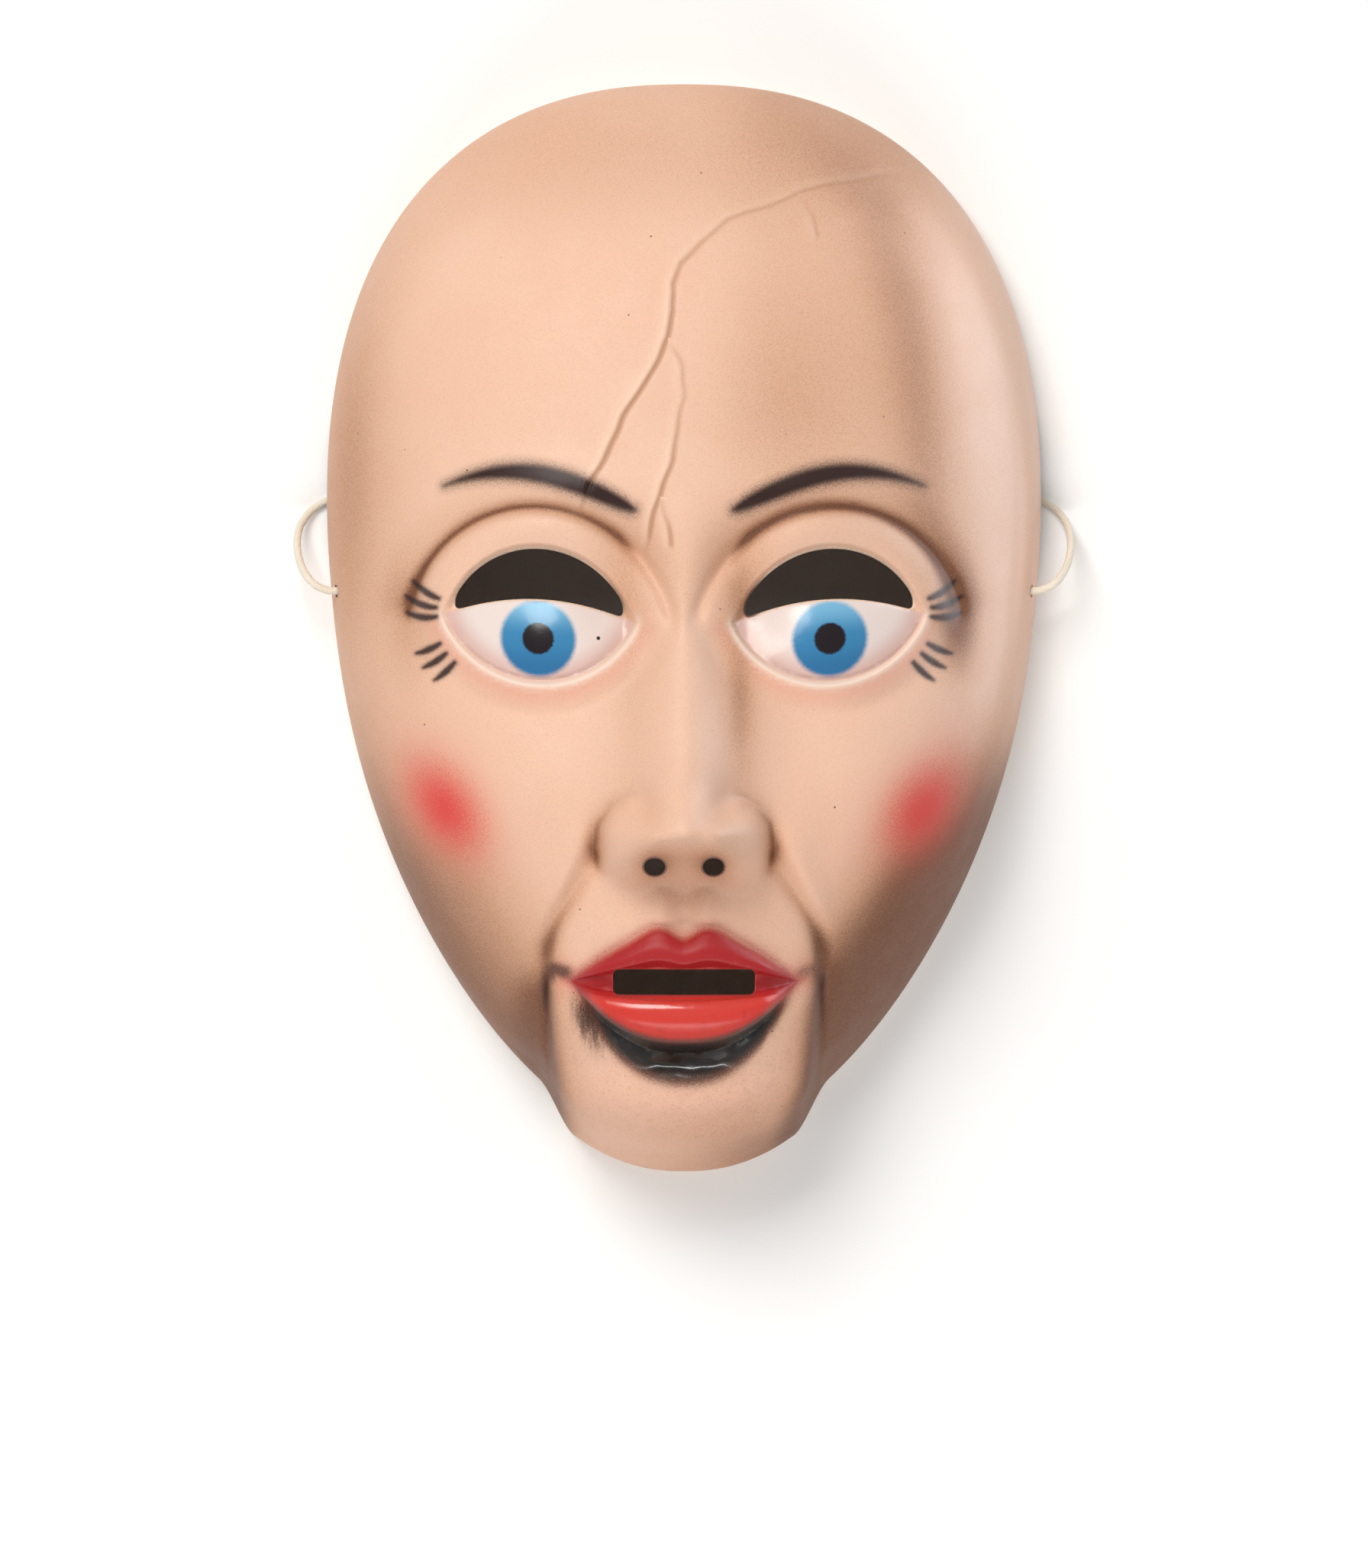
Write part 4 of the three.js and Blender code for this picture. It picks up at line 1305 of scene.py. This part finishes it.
def braided_tube(name, line, sides, material, blunt=False):
    """A tube along a line, with the crossing threads of a round braid raised on it."""
    steps = np.gradient(line, axis=0)
    ahead = steps / np.linalg.norm(steps, axis=1, keepdims=True)
    length = np.concatenate(([0], np.cumsum(np.linalg.norm(np.diff(line, axis=0), axis=1))))
    angle = np.linspace(0, math.tau, sides, endpoint=False)
    side = np.cross(ahead[0], (0.0, 0.3, 1.0))
    rings = []
    for middle, forward, far in zip(line, ahead, length):
        side = side - forward * forward.dot(side)
        side = side / np.linalg.norm(side)
        other = np.cross(forward, side)
        turn = math.tau * far / BRAID_PITCH
        thread = BRAID_STRANDS / 2 * angle
        strand = np.maximum(np.cos(thread + turn), np.cos(thread - turn))
        thick = CORD_DIAMETER / 2 * (1 - BRAID_DEPTH + BRAID_DEPTH * strand)
        if blunt:
            thick = thick * min(1.0, 0.4 + math.sqrt(min(far, length[-1] - far) * 1.8))
        around = np.cos(angle)[:, None] * side + np.sin(angle)[:, None] * other
        rings.append(middle + thick[:, None] * around)
    return ring_solid(name, rings, (material,))


def knot_line(sign):
    """A tight overhand knot on the end of the elastic, just inside the shell, with a short tail."""
    start = np.array(CORD_SIDE[0])
    away = start - np.array(CORD_SIDE[1])
    away = away / np.linalg.norm(away)
    up = np.array((0.0, 1.0, 0.0)) - away * away[1]
    up = up / np.linalg.norm(up)
    across = np.cross(away, up)
    middle = start + away * KNOT_LENGTH / 2
    coil = KNOT_RADIUS - CORD_DIAMETER / 2
    points = [start]
    for angle in range(30, 690, 30):
        turn = math.radians(angle)
        along = (angle - 360) / 660 * (KNOT_LENGTH - CORD_DIAMETER)
        reach = coil * (1.0 + 0.15 * math.cos(1.5 * turn))
        points.append(middle + away * along + reach * (math.cos(turn) * up + math.sin(turn) * across))
    points.append(points[-1] + 1.2 * away + 1.4 * up)
    points.append(points[-1] + 1.6 * away + 0.9 * across)
    return np.array(points) * (sign, 1, 1)


def make_elastic(material):
    """The two knots, and the elastic from one knot to the other."""
    for label, sign in (("right", 1), ("left", -1)):
        knot = braided_tube(f"elastic_overhand_{label}", through(knot_line(sign), 0.25), 16, material, True)
        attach(knot, "root")
        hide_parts(f"elastic_knot_{label}")
    left = [(-x, y, z) for x, y, z in reversed(CORD_SIDE)]
    line = through([*CORD_SIDE, CORD_MIDDLE, *left], 0.3)
    cord = braided_tube("elastic_braid", line, 20, material)
    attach(cord, "root")
    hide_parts("elastic_cord")


# The mask itself


def make_mask():
    """The moulded shell: the outside, less the inside, the openings and all that is under the rim."""
    shell = domed_block("mask_face", FACE_CELLS, outer_points, BELOW_RIM, FACE_SLOT, passes=3)
    core = domed_block("core", INSIDE_CELLS, inner_points, 3 * BELOW_RIM, BARE_SLOT)
    cutters = [core, rim_cutter(), opening_cutter("slot_cutter", slot_outline(), SLOT_ROUNDING)]
    for sign in (1, -1):
        cutters.append(opening_cutter("eye_cutter", eye_outline(sign), OPENING_ROUNDING))
        cutters.append(opening_cutter("nostril_cutter", nostril_outline(sign), OPENING_ROUNDING))
        cutters.append(hole_cutter("hole_cutter", sign))
    cut(shell, cutters)
    add_paint_maps(shell)
    sharpen(shell)
    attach(shell, "root")
    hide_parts("mask_shell")
    return shell


# The floor and the light


def make_floor():
    floor = bmesh.new()
    bmesh.ops.create_grid(floor, x_segments=2, y_segments=2, size=FLOOR_HALF)
    paper = new_material("floor paper", {"Base Color": tint(250, 250, 250), "Roughness": 0.9})[0]
    finish_mesh("floor", floor, (paper,))


def area_light(name, place, target, size, power, colour):
    data = bpy.data.lights.new(name, "AREA")
    data.shape = "RECTANGLE"
    data.size, data.size_y = size
    data.energy = power
    data.color = colour
    light = bpy.data.objects.new(name, data)
    light.location = place
    light.rotation_euler = (Vector(target) - Vector(place)).to_track_quat("-Z", "Y").to_euler()
    light.visible_camera = False
    light.visible_diffuse = name not in GLOSS_ONLY
    bpy.context.scene.collection.objects.link(light)


def make_light():
    for lamp in LAMPS:
        area_light(*lamp)
    world = bpy.data.worlds.new("studio")
    world.use_nodes = True
    world.node_tree.nodes["Background"].inputs["Color"].default_value = ROOM_COLOUR
    world.node_tree.nodes["Background"].inputs["Strength"].default_value = ROOM_STRENGTH
    bpy.context.scene.world = world
    bpy.context.scene.view_settings.view_transform = "Standard"


make_camera()
make_elastic(braided_elastic())
spray_group = make_spray()
grain_group = make_plastic_grain()
SHELL_MATERIALS = (
    painted_face(spray_group, grain_group),
    bare_plastic(spray_group, grain_group),
    cut_edge(spray_group, grain_group),
)
mask = make_mask()
make_floor()
make_light()
